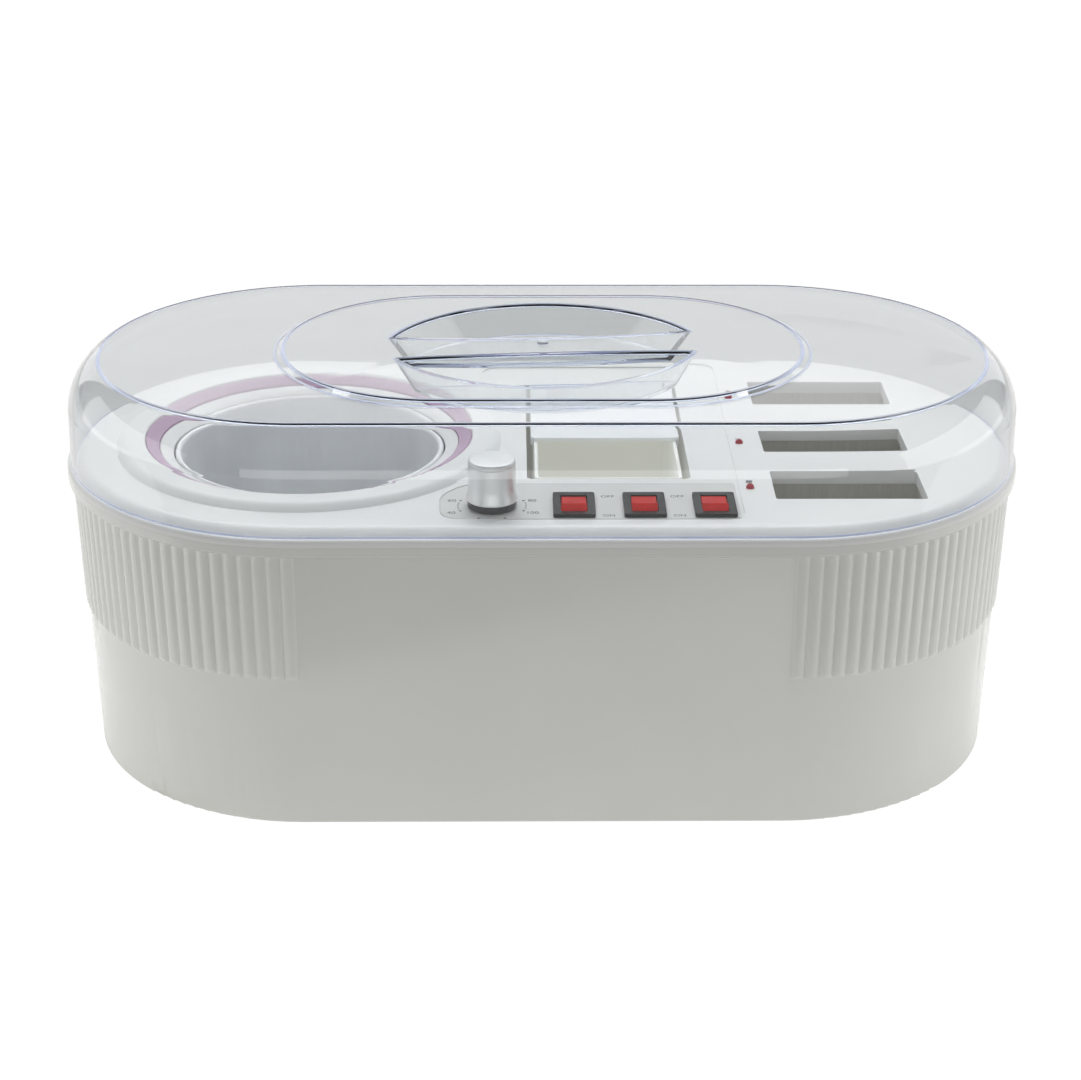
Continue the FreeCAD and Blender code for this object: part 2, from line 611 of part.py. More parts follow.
# ----------------------------------------------------------------------------
# Box bay
# ----------------------------------------------------------------------------
def build_box_parts():
    x0 = WELL_X0 + BOX_GAP_X
    x1 = WELL_X1 - BOX_GAP_X
    y0 = WELL_Y0 + BOX_GAP_Y
    y1 = WELL_Y1 - BOX_GAP_Y
    z0 = WELL_FLOOR_Z + RUN_GAP
    outer = slab(x0, x1, y0, y1, z0, BOX_TOP_Z, 2.6)
    inner = slab(x0 + BOX_T, x1 - BOX_T, y0 + BOX_T, y1 - BOX_T, z0 + BOX_T, BOX_TOP_Z + 5, 1.6)
    save(outer.cut(inner), "accessory_box")
    c0 = BOX_TOP_Z + RUN_GAP
    cx0 = x0 - RUN_GAP - 0.9
    cx1 = x1 + RUN_GAP + 0.9
    cover = slab(cx0, cx1, COVER_Y0, y1 + 1.2, c0 - 2.6, c0 + COVER_T, 2.4)
    clear = slab(x0 - RUN_GAP, x1 + RUN_GAP, COVER_Y0 - 5, y1 + 5, c0 - 5, c0)
    save(cover.cut(clear), "box_cover")


# ----------------------------------------------------------------------------
# Cartridge chambers
# ----------------------------------------------------------------------------
def build_chambers():
    half_w = SLOT_W / 2 + 1.6
    half_d = SLOT_D / 2 + 1.6
    top = PLATE_Z - 2.2
    discs = []
    for name, y in zip(SLOT_NAMES, SLOT_YS):
        t = CHAMBER_T
        outer = slab(SLOT_X - half_w - t, SLOT_X + half_w + t, y - half_d - t, y + half_d + t,
                     CHAMBER_Z0, PLATE_Z, 3.0)
        inner = slab(SLOT_X - half_w, SLOT_X + half_w, y - half_d, y + half_d,
                     CHAMBER_Z0 + t, PLATE_Z + 5, 1.8)
        flange = slab(SLOT_X - half_w - t - 2, SLOT_X + half_w + t + 2, y - half_d - t - 2,
                      y + half_d + t + 2, top + 1.0, PLATE_Z, 5.0)
        save(outer.fuse(flange).cut(inner), "cartridge_chamber_" + name)
        wall_y = y + half_d + t
        plate = slab(SLOT_X - 22, SLOT_X + 22, wall_y, wall_y + 2.5, CHAMBER_Z0 + 15.5, CHAMBER_Z0 + 57.5)
        plate = plate.fuse(slab(SLOT_X - 4, SLOT_X + 4, wall_y + 2.4, wall_y + 4.0,
                                CHAMBER_Z0 + 29.5, CHAMBER_Z0 + 43.5))
        save(plate, "chamber_heater_" + name)
        disc = Part.makeCylinder(6.0, 4.0, V(SLOT_X, y - half_d - t - 4.0, CHAMBER_Z0 + 37.5), V(0, 1, 0))
        discs.append(disc)
    save(Part.makeCompound(discs), "chamber_thermal_cutouts")
    tray_y0 = SLOT_YS[0] - half_d - 1.0
    tray_y1 = SLOT_YS[2] + half_d + 1.0
    tray = slab(SLOT_X - half_w - 1.0, SLOT_X + half_w + 1.0, tray_y0, tray_y1,
                CHAMBER_Z0 - 1.5, CHAMBER_Z0, 3.0)
    for y in SLOT_YS:
        tray = tray.cut(slab(SLOT_X - 20, SLOT_X + 20, y - 9, y + 9, CHAMBER_Z0 - 5, CHAMBER_Z0 + 1, 3.0))
    legs = []
    for sx in (-1, 1):
        for sy in (-1, 1):
            x = SLOT_X + sx * (half_w - 4)
            y = SLOT_MID_Y + sy * SLOT_PITCH / 2
            legs.append(slab(x - 4, x + 4, y - 5, y + 5, TUB_Z0 + FLOOR_T, CHAMBER_Z0 - 1.0))
    save(tray.multiFuse(legs), "chamber_support")


# ----------------------------------------------------------------------------
# Thermostat and knob
# ----------------------------------------------------------------------------
def build_thermostat():
    x = KNOB_X
    y = KNOB_Y
    bush_top = OVERLAY_TOP + 2.5
    z0 = THERMOSTAT_Z0
    shaft_top = KNOB_TOP_Z - 6.3
    body = rod(13.5, x, y, z0, PLATE_Z - 0.2).fuse(rod(4.7, x, y, z0 + 20, bush_top))
    body = body.fuse(slab(x - 5, x + 5, y - 8, y + 8, z0 - 6.0, z0 + 0.5, 1.0))
    body = body.cut(rod(SHAFT_R + SHAFT_RUN, x, y, z0 + 10, bush_top + 1))
    save(body, "thermostat_control")
    shaft = rod(SHAFT_R, x, y, z0 + 11, shaft_top)
    save(shaft, "thermostat_shaft")
    hexagon = []
    for k in range(7):
        a = math.radians(60 * k)
        hexagon.append(V(x + 6.35 * math.cos(a), y + 6.35 * math.sin(a), OVERLAY_TOP))
    nut = Part.Face(Part.makePolygon(hexagon)).extrude(V(0, 0, 1.9))
    save(nut.cut(rod(4.75, x, y, OVERLAY_TOP - 1, OVERLAY_TOP + 5)), "thermostat_nut")
    base_z = OVERLAY_TOP + 0.35 + KNOB_RING_H
    groove_z = KNOB_TOP_Z - KNOB_GROOVE_DROP
    knob = revolved([
        (SHAFT_R + 0.02, base_z + 1.8),
        (7.2, base_z + 1.8),
        (7.2, base_z),
        (KNOB_FLARE_R, base_z),
        (KNOB_FLARE_R, base_z + KNOB_FLARE_H * 0.12),
        (KNOB_R + 0.25, base_z + KNOB_FLARE_H * 0.65),
        (KNOB_R, base_z + KNOB_FLARE_H),
        (KNOB_R, groove_z - KNOB_GROOVE),
        (KNOB_R - KNOB_GROOVE, groove_z),
        (KNOB_R, groove_z + KNOB_GROOVE),
        (KNOB_R, KNOB_TOP_Z - 0.9),
        (KNOB_R - 0.26, KNOB_TOP_Z - 0.26, 1),
        (KNOB_R - 0.9, KNOB_TOP_Z),
        (0, KNOB_TOP_Z),
        (0, shaft_top + 0.1),
        (SHAFT_R + 0.02, shaft_top + 0.1),
    ], x, y)
    save(knob, "temperature_knob")
    save(tube(KNOB_FLARE_R - 0.5, 7.4, x, y, OVERLAY_TOP + 0.35, base_z), "knob_base_ring")
    bulb_z = POT_BOTTOM_Z - 1.7
    line = wire_run([(x, y, z0 - 6.1), (x, y, bulb_z + 11.7), (-40, -30, bulb_z), (-52, -14, bulb_z)], 0.8)
    bulb = Part.makeCylinder(1.5, 28.0, V(-52, -14, bulb_z), V(-28, 9, 0))
    save(line.fuse(bulb), "thermostat_capillary")


# ----------------------------------------------------------------------------
# Rocker switches
# ----------------------------------------------------------------------------
def build_switches():
    blades = []
    for number, x in enumerate(SWITCH_XS, start=1):
        y = SWITCH_Y
        body = slab(x - SWITCH_W / 2, x + SWITCH_W / 2, y - SWITCH_L / 2, y + SWITCH_L / 2,
                    OVERLAY_TOP, BEZEL_TOP, 1.0)
        body = body.fuse(slab(x - 6.6, x + 6.6, y - 9.35, y + 9.35, SWITCH_Z0, OVERLAY_TOP + 0.2))
        body = body.cut(slab(x - ROCKER_W / 2 - 0.35, x + ROCKER_W / 2 + 0.35, y - 7.55, y + 7.55,
                             SWITCH_Z0 + 10, BEZEL_TOP + 1, 0.8))
        pin_hole = Part.makeCylinder(PIN_R + PIN_RUN, 12.0, V(x - 6.0, y, PIVOT_Z), V(1, 0, 0))
        body = body.cut(pin_hole)
        save(body, "switch_body_%d" % number)
        rise = ROCKER_HALF_L * math.tan(math.radians(ROCKER_TILT))
        section = [
            (-ROCKER_HALF_L, -2.0),
            (-2.5, -2.4),
            (-1.8, -5.2),
            (1.8, -5.2),
            (2.5, -2.4),
            (ROCKER_HALF_L, -2.0),
            (ROCKER_HALF_L, 2.3 + rise),
            (0.0, 2.3),
            (-ROCKER_HALF_L, 2.3 + rise),
        ]
        points = [V(x - ROCKER_W / 2, y + a, PIVOT_Z + b) for a, b in section]
        rocker = Part.Face(Part.makePolygon(points + points[:1])).extrude(V(ROCKER_W, 0, 0))
        pin = Part.makeCylinder(PIN_R, ROCKER_W + 2.2, V(x - ROCKER_W / 2 - 1.1, y, PIVOT_Z), V(1, 0, 0))
        rocker = rocker.fuse(pin)
        rocker.rotate(V(x, y, PIVOT_Z), V(1, 0, 0), -ROCKER_TILT)
        save(rocker, "switch_rocker_%d" % number)
        for dy in (-6.0, 0.0, 6.0):
            blades.append(slab(x - 2.4, x + 2.4, y + dy - 0.4, y + dy + 0.4, SWITCH_Z0 - 8.5, SWITCH_Z0))
    save(Part.makeCompound(blades), "switch_terminals")


def build_leds():
    for name, y in zip(SLOT_NAMES, SLOT_YS):
        led = rod(LED_R, LED_X, y - 2.5, PLATE_Z - 3.5, DECK_Z + 0.2)
        led = led.fuse(Part.makeSphere(LED_R, V(LED_X, y - 2.5, DECK_Z + 0.2)))
        for side in (-1, 1):
            led = led.fuse(rod(0.25, LED_X + side * 0.75, y - 2.5, PLATE_Z - 14, PLATE_Z - 3.4))
        save(led, "led_" + name)


# ----------------------------------------------------------------------------
# Board, mains inlet, wiring, fasteners, feet
# ----------------------------------------------------------------------------
def build_electrics():
    board = slab(2, 58, -32, 40, 25.0, 26.6, 2.0)
    for x, y in BOARD_SPOTS:
        board = board.cut(rod(1.6, x, y, 20, 30))
    save(board, "control_board")
    parts = [
        slab(10, 40, 12, 34, 26.6, 48.6, 1.5),
        slab(10, 22, -23, -8, 26.6, 41.6, 0.5),
        slab(25, 37, -23, -8, 26.6, 41.6, 0.5),
        slab(40, 52, -23, -8, 26.6, 41.6, 0.5),
        slab(12, 46, -4, 5, 26.6, 36.6, 0.5),
        rod(5.0, 49, 24, 26.6, 41.0),
        rod(4.0, 50, 11, 26.6, 39.0),
    ]
    save(Part.makeCompound(parts), "board_components")
    screws = []
    for x, y in BOARD_SPOTS:
        head = rod(2.6, x, y, 26.6, 28.4).cut(slab(x - 2, x + 2, y - 0.35, y + 0.35, 27.6, 29))
        screws.append(head.fuse(rod(1.1, x, y, 16.0, 26.7)))
    save(Part.makeCompound(screws), "board_screws")

    cx = INLET_X
    cz = INLET_Z
    face = INLET_FACE_Y
    flange_y = face + INLET_FLANGE_T
    flange = slab(cx - 25, cx + 25, face, flange_y, cz - 13.5, cz + 13.5)
    core = slab(cx - 13.7, cx + 13.7, 74.0, face + 0.2, cz - 10.1, cz + 10.1)
    inlet = flange.fuse(core)
    cavity = slab(cx - 12.0, cx + 12.0, 77.5, face + 5, cz - 8.5, cz + 8.5)
    inlet = inlet.cut(cavity)
    for side in (-1, 1):
        inlet = inlet.cut(Part.makeCylinder(1.7, 10, V(cx + side * 20, face - 2, cz), V(0, 1, 0)))
    pins = []
    for dx, dz in ((-7.0, -2.0), (0.0, 2.0), (7.0, -2.0)):
        pin = slab(cx + dx - 1.0, cx + dx + 1.0, 68.0, 88.5, cz + dz - 2.0, cz + dz + 2.0)
        pins.append(pin)
        inlet = inlet.cut(slab(cx + dx - 1.0, cx + dx + 1.0, 70.0, 79.0, cz + dz - 2.0, cz + dz + 2.0))
    save(inlet, "mains_inlet")
    save(Part.makeCompound(pins), "inlet_pins")
    screws = []
    for side in (-1, 1):
        x = cx + side * 20
        head = Part.makeCylinder(2.8, 1.4, V(x, flange_y, cz), V(0, 1, 0))
        head = head.cut(slab(x - 2.2, x + 2.2, flange_y + 0.7, flange_y + 3, cz - 0.35, cz + 0.35))
        screws.append(head.fuse(Part.makeCylinder(1.3, 10.9, V(x, face - 9.0, cz), V(0, 1, 0))))
    save(Part.makeCompound(screws), "inlet_screws")

    runs = []
    for k in range(3):
        z = cz + (2.0 if k == 1 else -2.0)
        x = cx - 7.0 + 7.0 * k
        runs.append(wire_run([(x, 67.9, z), (x, 63, z), (x, 56, 52), (18 + 9 * k, 0.5, 52),
                              (18 + 9 * k, 0.5, 36.7)], 1.1))
    for y in (-1.5, 2.5):
        runs.append(wire_run([(8, y, 26.7), (8, y, 31), (-12, y, 31), (-12, y, POT_BOTTOM_Z + 30),
                              (POT_X + CAN_OUT_R + 7.6, y, POT_BOTTOM_Z + 30)], 1.1))
    for k, y in enumerate(SLOT_YS):
        wy = y + SLOT_D / 2 + 1.6 + CHAMBER_T + 1.4
        sy = -12.0 + 14.0 * k
        runs.append(wire_run([(56, sy, 26.7), (56, sy, 31), (70, sy, 31), (70, wy, CHAMBER_Z0 + 25.5),
                              (SLOT_X - 22.2, wy, CHAMBER_Z0 + 25.5)], 1.1))
    for k, x in enumerate(SWITCH_XS):
        runs.append(wire_run([(17 + 12 * k, -29, 26.7), (17 + 12 * k, -30, 36), (x, SWITCH_Y, 60),
                              (x, SWITCH_Y, SWITCH_Z0 - 8.6)], 1.1))
    save(Part.makeCompound(runs), "wiring_harness")


def build_fasteners():
    screws = []
    for x, y in SCREW_SPOTS:
        screws.append(pan_screw(x, y, SCREW_SEAT_Z, 3.2, 2.4, 1.5, 19.0))
    save(Part.makeCompound(screws), "housing_screws")
    feet = []
    for x, y in FOOT_SPOTS:
        feet.append(revolved([(0, 0), (FOOT_R - 1.0, 0), (FOOT_R, FOOT_PROUD), (FOOT_R, TUB_Z0 + 1.5),
                              (0, TUB_Z0 + 1.5)], x, y))
    save(Part.makeCompound(feet), "rubber_feet")


save(build_lower_housing(), "lower_housing")
save(build_top_deck(), "top_deck")
save(build_overlay(), "control_overlay")
save(build_lid(), "clear_lid")
build_pot_parts()
build_box_parts()
build_chambers()
build_thermostat()
build_switches()
build_leds()
build_electrics()
build_fasteners()
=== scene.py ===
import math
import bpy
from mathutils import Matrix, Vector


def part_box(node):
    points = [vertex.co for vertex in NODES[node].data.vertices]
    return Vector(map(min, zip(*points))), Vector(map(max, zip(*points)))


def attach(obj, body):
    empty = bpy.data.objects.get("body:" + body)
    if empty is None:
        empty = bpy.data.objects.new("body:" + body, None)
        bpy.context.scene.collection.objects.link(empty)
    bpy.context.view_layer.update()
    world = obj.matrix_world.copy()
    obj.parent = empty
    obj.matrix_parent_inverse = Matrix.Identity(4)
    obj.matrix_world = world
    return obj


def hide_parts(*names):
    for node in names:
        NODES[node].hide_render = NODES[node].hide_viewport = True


bl_info = {
    "name": "Countertop warming appliance",
    "version": (1, 0, 0),
    "blender": (4, 5, 0),
    "location": "View3D > Sidebar > Warmer",
    "description": "Clear-lidded warmer with a pot bay, a box bay, cartridge slots and its controls",
    "category": "Object",
}

import bmesh
import bpy
from mathutils import Matrix, Vector

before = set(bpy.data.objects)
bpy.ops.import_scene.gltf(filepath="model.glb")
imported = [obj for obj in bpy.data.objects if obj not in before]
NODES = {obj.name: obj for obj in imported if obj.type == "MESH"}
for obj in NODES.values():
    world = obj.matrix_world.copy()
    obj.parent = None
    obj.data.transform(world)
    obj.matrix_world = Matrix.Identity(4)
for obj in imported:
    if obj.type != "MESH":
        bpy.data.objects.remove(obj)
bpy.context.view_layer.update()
MM = 0.001

# Places shared by several pieces, read from the frame, in millimetres
def place_of(node):
    low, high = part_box(node)
    return low / MM, high / MM


LID_LOW, LID_HIGH = place_of("clear_lid")
FILM_HIGH = place_of("control_overlay")[1]
KNOB_LOW, KNOB_HIGH = place_of("temperature_knob")
POT_LOW, POT_HIGH = place_of("inner_pot")
KNOB_CENTRE = ((KNOB_LOW.x + KNOB_HIGH.x) / 2, (KNOB_LOW.y + KNOB_HIGH.y) / 2)
POT_CENTRE = ((POT_LOW.x + POT_HIGH.x) / 2, (POT_LOW.y + POT_HIGH.y) / 2)
SWITCH_NUMBERS = (1, 2, 3)
BAY_NAMES = ("front", "middle", "rear")


# ---------------------------------------------------------------------------
# Colour and material helpers
# ---------------------------------------------------------------------------
def linear(code):
    """An sRGB hex colour as linear RGBA."""
    values = [int(code[i:i + 2], 16) / 255 for i in (0, 2, 4)]
    return tuple(v / 12.92 if v <= 0.04045 else ((v + 0.055) / 1.055) ** 2.4 for v in values) + (1.0,)


def add(tree, kind, inputs=None, **settings):
    """Adds a node, applies its settings, and sets or links its inputs."""
    node = tree.nodes.new(kind)
    for key, value in settings.items():
        setattr(node, key, value)
    for key, value in (inputs or {}).items():
        socket = node.inputs[key]
        if isinstance(value, bpy.types.NodeSocket):
            tree.links.new(value, socket)
        else:
            socket.default_value = value
    return node


def new_material(name):
    material = bpy.data.materials.new(name)
    material.use_nodes = True
    material.node_tree.nodes.clear()
    return material, material.node_tree


def finish_material(tree, shader, volume=None):
    inputs = {"Surface": shader}
    if volume is not None:
        inputs["Volume"] = volume
    add(tree, "ShaderNodeOutputMaterial", inputs)


def ramp(tree, factor, low, high, start=0.35, end=0.65):
    """Colour ramp between two tones."""
    node = add(tree, "ShaderNodeValToRGB", {"Fac": factor})
    node.color_ramp.elements[0].position = start
    node.color_ramp.elements[1].position = end
    node.color_ramp.elements[0].color = low
    node.color_ramp.elements[1].color = high
    return node.outputs["Color"]


def spread(tree, factor, low, high):
    """Maps a 0 to 1 pattern onto a range of values."""
    node = add(tree, "ShaderNodeMapRange", {"Value": factor, "To Min": low, "To Max": high})
    return node.outputs["Result"]


def moulded_plastic(name, tone, shade, roughness, grain_mm=0.9, relief_mm=0.006, specular=0.5,
                    glow=0.0):
    """Injection-moulded plastic: an even colour with a faint flow mottle and a fine spark-eroded
    texture that breaks up the gloss. A little glow is painted light: an even glow on a part that is no lamp."""
    material, tree = new_material(name)
    place = add(tree, "ShaderNodeTexCoord").outputs["Object"]
    mottle = add(tree, "ShaderNodeTexNoise", {"Vector": place, "Scale": 1 / 0.045, "Detail": 3.0})
    colour = ramp(tree, mottle.outputs["Fac"], linear(shade), linear(tone))
    grain = add(tree, "ShaderNodeTexNoise", {"Vector": place, "Scale": 1 / (grain_mm * MM), "Detail": 2.0})
    relief = add(tree, "ShaderNodeBump", {"Height": grain.outputs["Fac"], "Strength": 0.35,
                                         "Distance": relief_mm * MM})
    gloss = spread(tree, mottle.outputs["Fac"], roughness - 0.03, roughness + 0.03)
    body = add(tree, "ShaderNodeBsdfPrincipled", {
        "Base Color": colour, "Roughness": gloss, "Normal": relief.outputs["Normal"],
        "IOR": 1.53, "Specular IOR Level": specular,
        "Emission Color": linear(tone), "Emission Strength": glow})
    finish_material(tree, body.outputs["BSDF"])
    return material


def spun_metal(name, tone, shade, roughness, centre, ring_mm=0.45, relief_mm=0.004, bare=1.0):
    """Spun and turned aluminium: fine rings about the turning axis. Bare is the share of bright
    metal; the rest is the dull oxide skin, which scatters light like a pale paint."""
    material, tree = new_material(name)
    place = add(tree, "ShaderNodeTexCoord").outputs["Object"]
    centred = add(tree, "ShaderNodeMapping", {"Vector": place, "Location": (-centre[0], -centre[1], 0)})
    rings = add(tree, "ShaderNodeTexWave", {
        "Vector": centred.outputs["Vector"], "Scale": 0.31 / (ring_mm * MM), "Distortion": 0.6,
        "Detail": 2.0, "Detail Scale": 1.4}, wave_type="RINGS", rings_direction="Z")
    cloud = add(tree, "ShaderNodeTexNoise", {"Vector": place, "Scale": 1 / 0.02, "Detail": 4.0})
    colour = ramp(tree, cloud.outputs["Fac"], linear(shade), linear(tone))
    relief = add(tree, "ShaderNodeBump", {"Height": rings.outputs["Fac"], "Strength": 0.3,
                                         "Distance": relief_mm * MM})
    gloss = spread(tree, cloud.outputs["Fac"], roughness - 0.06, roughness + 0.06)
    body = add(tree, "ShaderNodeBsdfPrincipled", {
        "Base Color": colour, "Roughness": gloss, "Metallic": bare, "Normal": relief.outputs["Normal"]})
    finish_material(tree, body.outputs["BSDF"])
    return material


def drawn_metal(name, tone, shade, roughness, streak_mm=0.5, along=(1.0, 1.0, 0.05), bare=1.0):
    """Rolled or drawn sheet: faint streaks along one direction, with its share of bare metal."""
    material, tree = new_material(name)
    place = add(tree, "ShaderNodeTexCoord").outputs["Object"]
    stretched = add(tree, "ShaderNodeMapping", {"Vector": place, "Scale": along})
    streaks = add(tree, "ShaderNodeTexNoise", {
        "Vector": stretched.outputs["Vector"], "Scale": 1 / (streak_mm * MM), "Detail": 3.0})
    colour = ramp(tree, streaks.outputs["Fac"], linear(shade), linear(tone))
    gloss = spread(tree, streaks.outputs["Fac"], roughness - 0.08, roughness + 0.08)
    body = add(tree, "ShaderNodeBsdfPrincipled", {"Base Color": colour, "Roughness": gloss, "Metallic": bare})
    finish_material(tree, body.outputs["BSDF"])
    return material


def clear_plastic(name, tint, roughness):
    """Injection-moulded clear styrene: nearly colourless through the wall, with a faint flow haze in
    its gloss. Lamps are let through so that the deck under it is lit."""
    material, tree = new_material(name)
    place = add(tree, "ShaderNodeTexCoord").outputs["Object"]
    haze = add(tree, "ShaderNodeTexNoise", {"Vector": place, "Scale": 1 / (60 * MM), "Detail": 3.0})
    gloss = spread(tree, haze.outputs["Fac"], roughness, roughness + 0.02)
    body = add(tree, "ShaderNodeBsdfPrincipled", {
        "Base Color": linear(tint), "Roughness": gloss, "IOR": 1.57, "Transmission Weight": 1.0})
    rays = add(tree, "ShaderNodeLightPath")
    passed = add(tree, "ShaderNodeBsdfTransparent", {"Color": (0.97, 0.975, 0.98, 1.0)})
    both = add(tree, "ShaderNodeMixShader", {
        0: rays.outputs["Is Shadow Ray"], 1: body.outputs["BSDF"], 2: passed.outputs["BSDF"]})
    depth = add(tree, "ShaderNodeVolumeAbsorption", {"Color": (0.40, 0.58, 0.95, 1.0), "Density": 5.0})
    finish_material(tree, both.outputs["Shader"], depth.outputs["Volume"])
    return material


def lit_edge_plastic(name, tone):
    """Moulded edge of the clear lid: light piped along inside the sheet leaves here, after so long a
    path that it looks blue. The edge is partly clear; its pale blue and its little glow are painted light
    standing for that piped light."""
    material, tree = new_material(name)
    place = add(tree, "ShaderNodeTexCoord").outputs["Object"]
    drift = add(tree, "ShaderNodeTexNoise", {"Vector": place, "Scale": 1 / (35 * MM), "Detail": 1.0})
    colour = ramp(tree, drift.outputs["Fac"], linear(tone), linear("D6DCEC"))
    body = add(tree, "ShaderNodeBsdfPrincipled", {
        "Base Color": colour, "Roughness": 0.12, "IOR": 1.57, "Transmission Weight": 0.4,
        "Emission Color": linear(tone), "Emission Strength": 0.12})
    rays = add(tree, "ShaderNodeLightPath")
    passed = add(tree, "ShaderNodeBsdfTransparent", {"Color": (0.9, 0.92, 0.96, 1.0)})
    both = add(tree, "ShaderNodeMixShader", {
        0: rays.outputs["Is Shadow Ray"], 1: body.outputs["BSDF"], 2: passed.outputs["BSDF"]})
    finish_material(tree, both.outputs["Shader"])
    return material


def lens_plastic(name, tone, shade, lit, glow):
    """Translucent moulded lens: coloured through and satin. On the lamps the glow is their own
    light; on the rockers it is painted light that brightens the red."""
    material, tree = new_material(name)
    place = add(tree, "ShaderNodeTexCoord").outputs["Object"]
    cloud = add(tree, "ShaderNodeTexNoise", {"Vector": place, "Scale": 1 / 0.003, "Detail": 2.0})
    colour = ramp(tree, cloud.outputs["Fac"], linear(shade), linear(tone))
    body = add(tree, "ShaderNodeBsdfPrincipled", {
        "Base Color": colour, "Roughness": 0.34, "IOR": 1.52, "Specular IOR Level": 0.12,
        "Emission Color": linear(lit), "Emission Strength": glow})
    finish_material(tree, body.outputs["BSDF"])
    return material


def printed_ink(name, tone):
    """Screen-printed ink: matt, with slightly uneven cover."""
    material, tree = new_material(name)
    place = add(tree, "ShaderNodeTexCoord").outputs["Object"]
    cover = add(tree, "ShaderNodeTexNoise", {"Vector": place, "Scale": 1 / 0.0006, "Detail": 1.0})
    thin = tuple(c * 1.15 for c in linear(tone)[:3]) + (1.0,)
    colour = ramp(tree, cover.outputs["Fac"], linear(tone), thin)
    body = add(tree, "ShaderNodeBsdfPrincipled", {"Base Color": colour, "Roughness": 0.6})
    finish_material(tree, body.outputs["BSDF"])
    return material


# ---------------------------------------------------------------------------
# Mesh helpers
# ---------------------------------------------------------------------------
def mesh_object(bm, name, body, material, smooth_angle=32.0):
    """Turns a bmesh into a finished object that rides on a body."""
    mesh = bpy.data.meshes.new(name)
    bm.to_mesh(mesh)
    bm.free()
    piece = bpy.data.objects.new(name, mesh)
    bpy.context.scene.collection.objects.link(piece)
    mesh.shade_smooth()
    mesh.set_sharp_from_angle(angle=math.radians(smooth_angle))
    mesh.materials.append(material)
    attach(piece, body)
    return piece


def outline(bm, points, place):
    """A chain of edges through points given as (radius, height) in millimetres."""
    verts = [bm.verts.new(place(r * MM, z * MM)) for r, z in points]
    edges = [bm.edges.new(pair) for pair in zip(verts[:-1], verts[1:])]
    return verts + edges


def recalc(bm, merge=1e-6):
    bmesh.ops.remove_doubles(bm, verts=bm.verts, dist=merge)
    bmesh.ops.recalc_face_normals(bm, faces=bm.faces)


def turned(name, points, centre, body, material, steps=96, closed=False, smooth_angle=32.0):
    """A round piece spun about a vertical axis from its section."""
    bm = bmesh.new()
    chain = outline(bm, points + (points[:1] if closed else []), lambda r, z: (centre[0] + r, centre[1], z))
    bmesh.ops.remove_doubles(bm, verts=bm.verts, dist=1e-7)
    bmesh.ops.spin(bm, geom=bm.verts[:] + bm.edges[:], cent=(centre[0], centre[1], 0), axis=(0, 0, 1),
                   angle=math.tau, steps=steps, use_merge=True, use_duplicate=False)
    recalc(bm)
    return mesh_object(bm, name, body, material, smooth_angle)


def only(kind, geom):
    """The vertices or the edges among a bmesh operator's results."""
    return [item for item in geom if isinstance(item, kind)]


def half_turn(bm, geom, x, steps):
    """Spins a section half round one end and returns the edges it ends on."""
    turn = bmesh.ops.spin(bm, geom=geom, cent=(x, 0, 0), axis=(0, 0, 1), angle=math.pi,
                          steps=steps, use_merge=False, use_duplicate=False)
    return only(bmesh.types.BMEdge, turn["geom_last"])


def straight_run(bm, edges, shift):
    """Extrudes edges along X and returns the far end's vertices and edges."""
    run = bmesh.ops.extrude_edge_only(bm, edges=edges)
    verts = only(bmesh.types.BMVert, run["geom"])
    bmesh.ops.translate(bm, verts=verts, vec=(shift, 0, 0))
    return verts + only(bmesh.types.BMEdge, run["geom"])


def swept_stadium(bm, points, half, steps=72):
    """Sweeps a section round a track with two round ends and straight sides."""
    reach = half * MM
    geom = outline(bm, points, lambda r, z: (reach, -r, z))
    geom = straight_run(bm, half_turn(bm, geom, reach, steps), -2 * reach)
    straight_run(bm, half_turn(bm, geom, -reach, steps), 2 * reach)
    bmesh.ops.remove_doubles(bm, verts=bm.verts, dist=1e-6)


def ring_at(bm, z):
    """Open edges that lie at a height, in millimetres."""
    return [e for e in bm.edges if e.is_boundary and all(abs(v.co.z / MM - z) < 1e-3 for v in e.verts)]


def arc_points(x, y, r, start, end, steps):
    angles = [start + (end - start) * k / steps for k in range(steps + 1)]
    return [(x + r * math.cos(angle), y + r * math.sin(angle)) for angle in angles]


def arc_through(a, b, c, steps):
    """Points on the circle through three points, from the first to the last."""
    ax, ay = a
    bx, by = b
    cx, cy = c
    d = 2 * (ax * (by - cy) + bx * (cy - ay) + cx * (ay - by))
    aa = ax ** 2 + ay ** 2
    bb = bx ** 2 + by ** 2
    cc = cx ** 2 + cy ** 2
    ux = (aa * (by - cy) + bb * (cy - ay) + cc * (ay - by)) / d
    uy = (aa * (cx - bx) + bb * (ax - cx) + cc * (bx - ax)) / d
    start = math.atan2(ay - uy, ax - ux)
    end = math.atan2(cy - uy, cx - ux)
    return arc_points(ux, uy, math.hypot(ax - ux, ay - uy), start, end, steps)


def cad_copy(node, name, body, material, bevel_mm=0.0, angle=35.0, segments=2):
    """A CAD node's mesh, merged and cleaned, with its moulded edges rounded."""
    bm = bmesh.new()
    bm.from_mesh(NODES[node].data)
    bmesh.ops.remove_doubles(bm, verts=bm.verts, dist=1e-6)
    bmesh.ops.dissolve_limit(bm, angle_limit=math.radians(0.4), verts=bm.verts, edges=bm.edges,
                             use_dissolve_boundaries=False)
    piece = mesh_object(bm, name, body, material, angle)
    if bevel_mm > 0:
        edge = piece.modifiers.new("rounded edges", "BEVEL")
        edge.width = bevel_mm * MM
        edge.segments = segments
        edge.limit_method = "ANGLE"
        edge.angle_limit = math.radians(angle)
        edge.use_clamp_overlap = True
        edge.harden_normals = True
    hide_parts(node)
    return piece


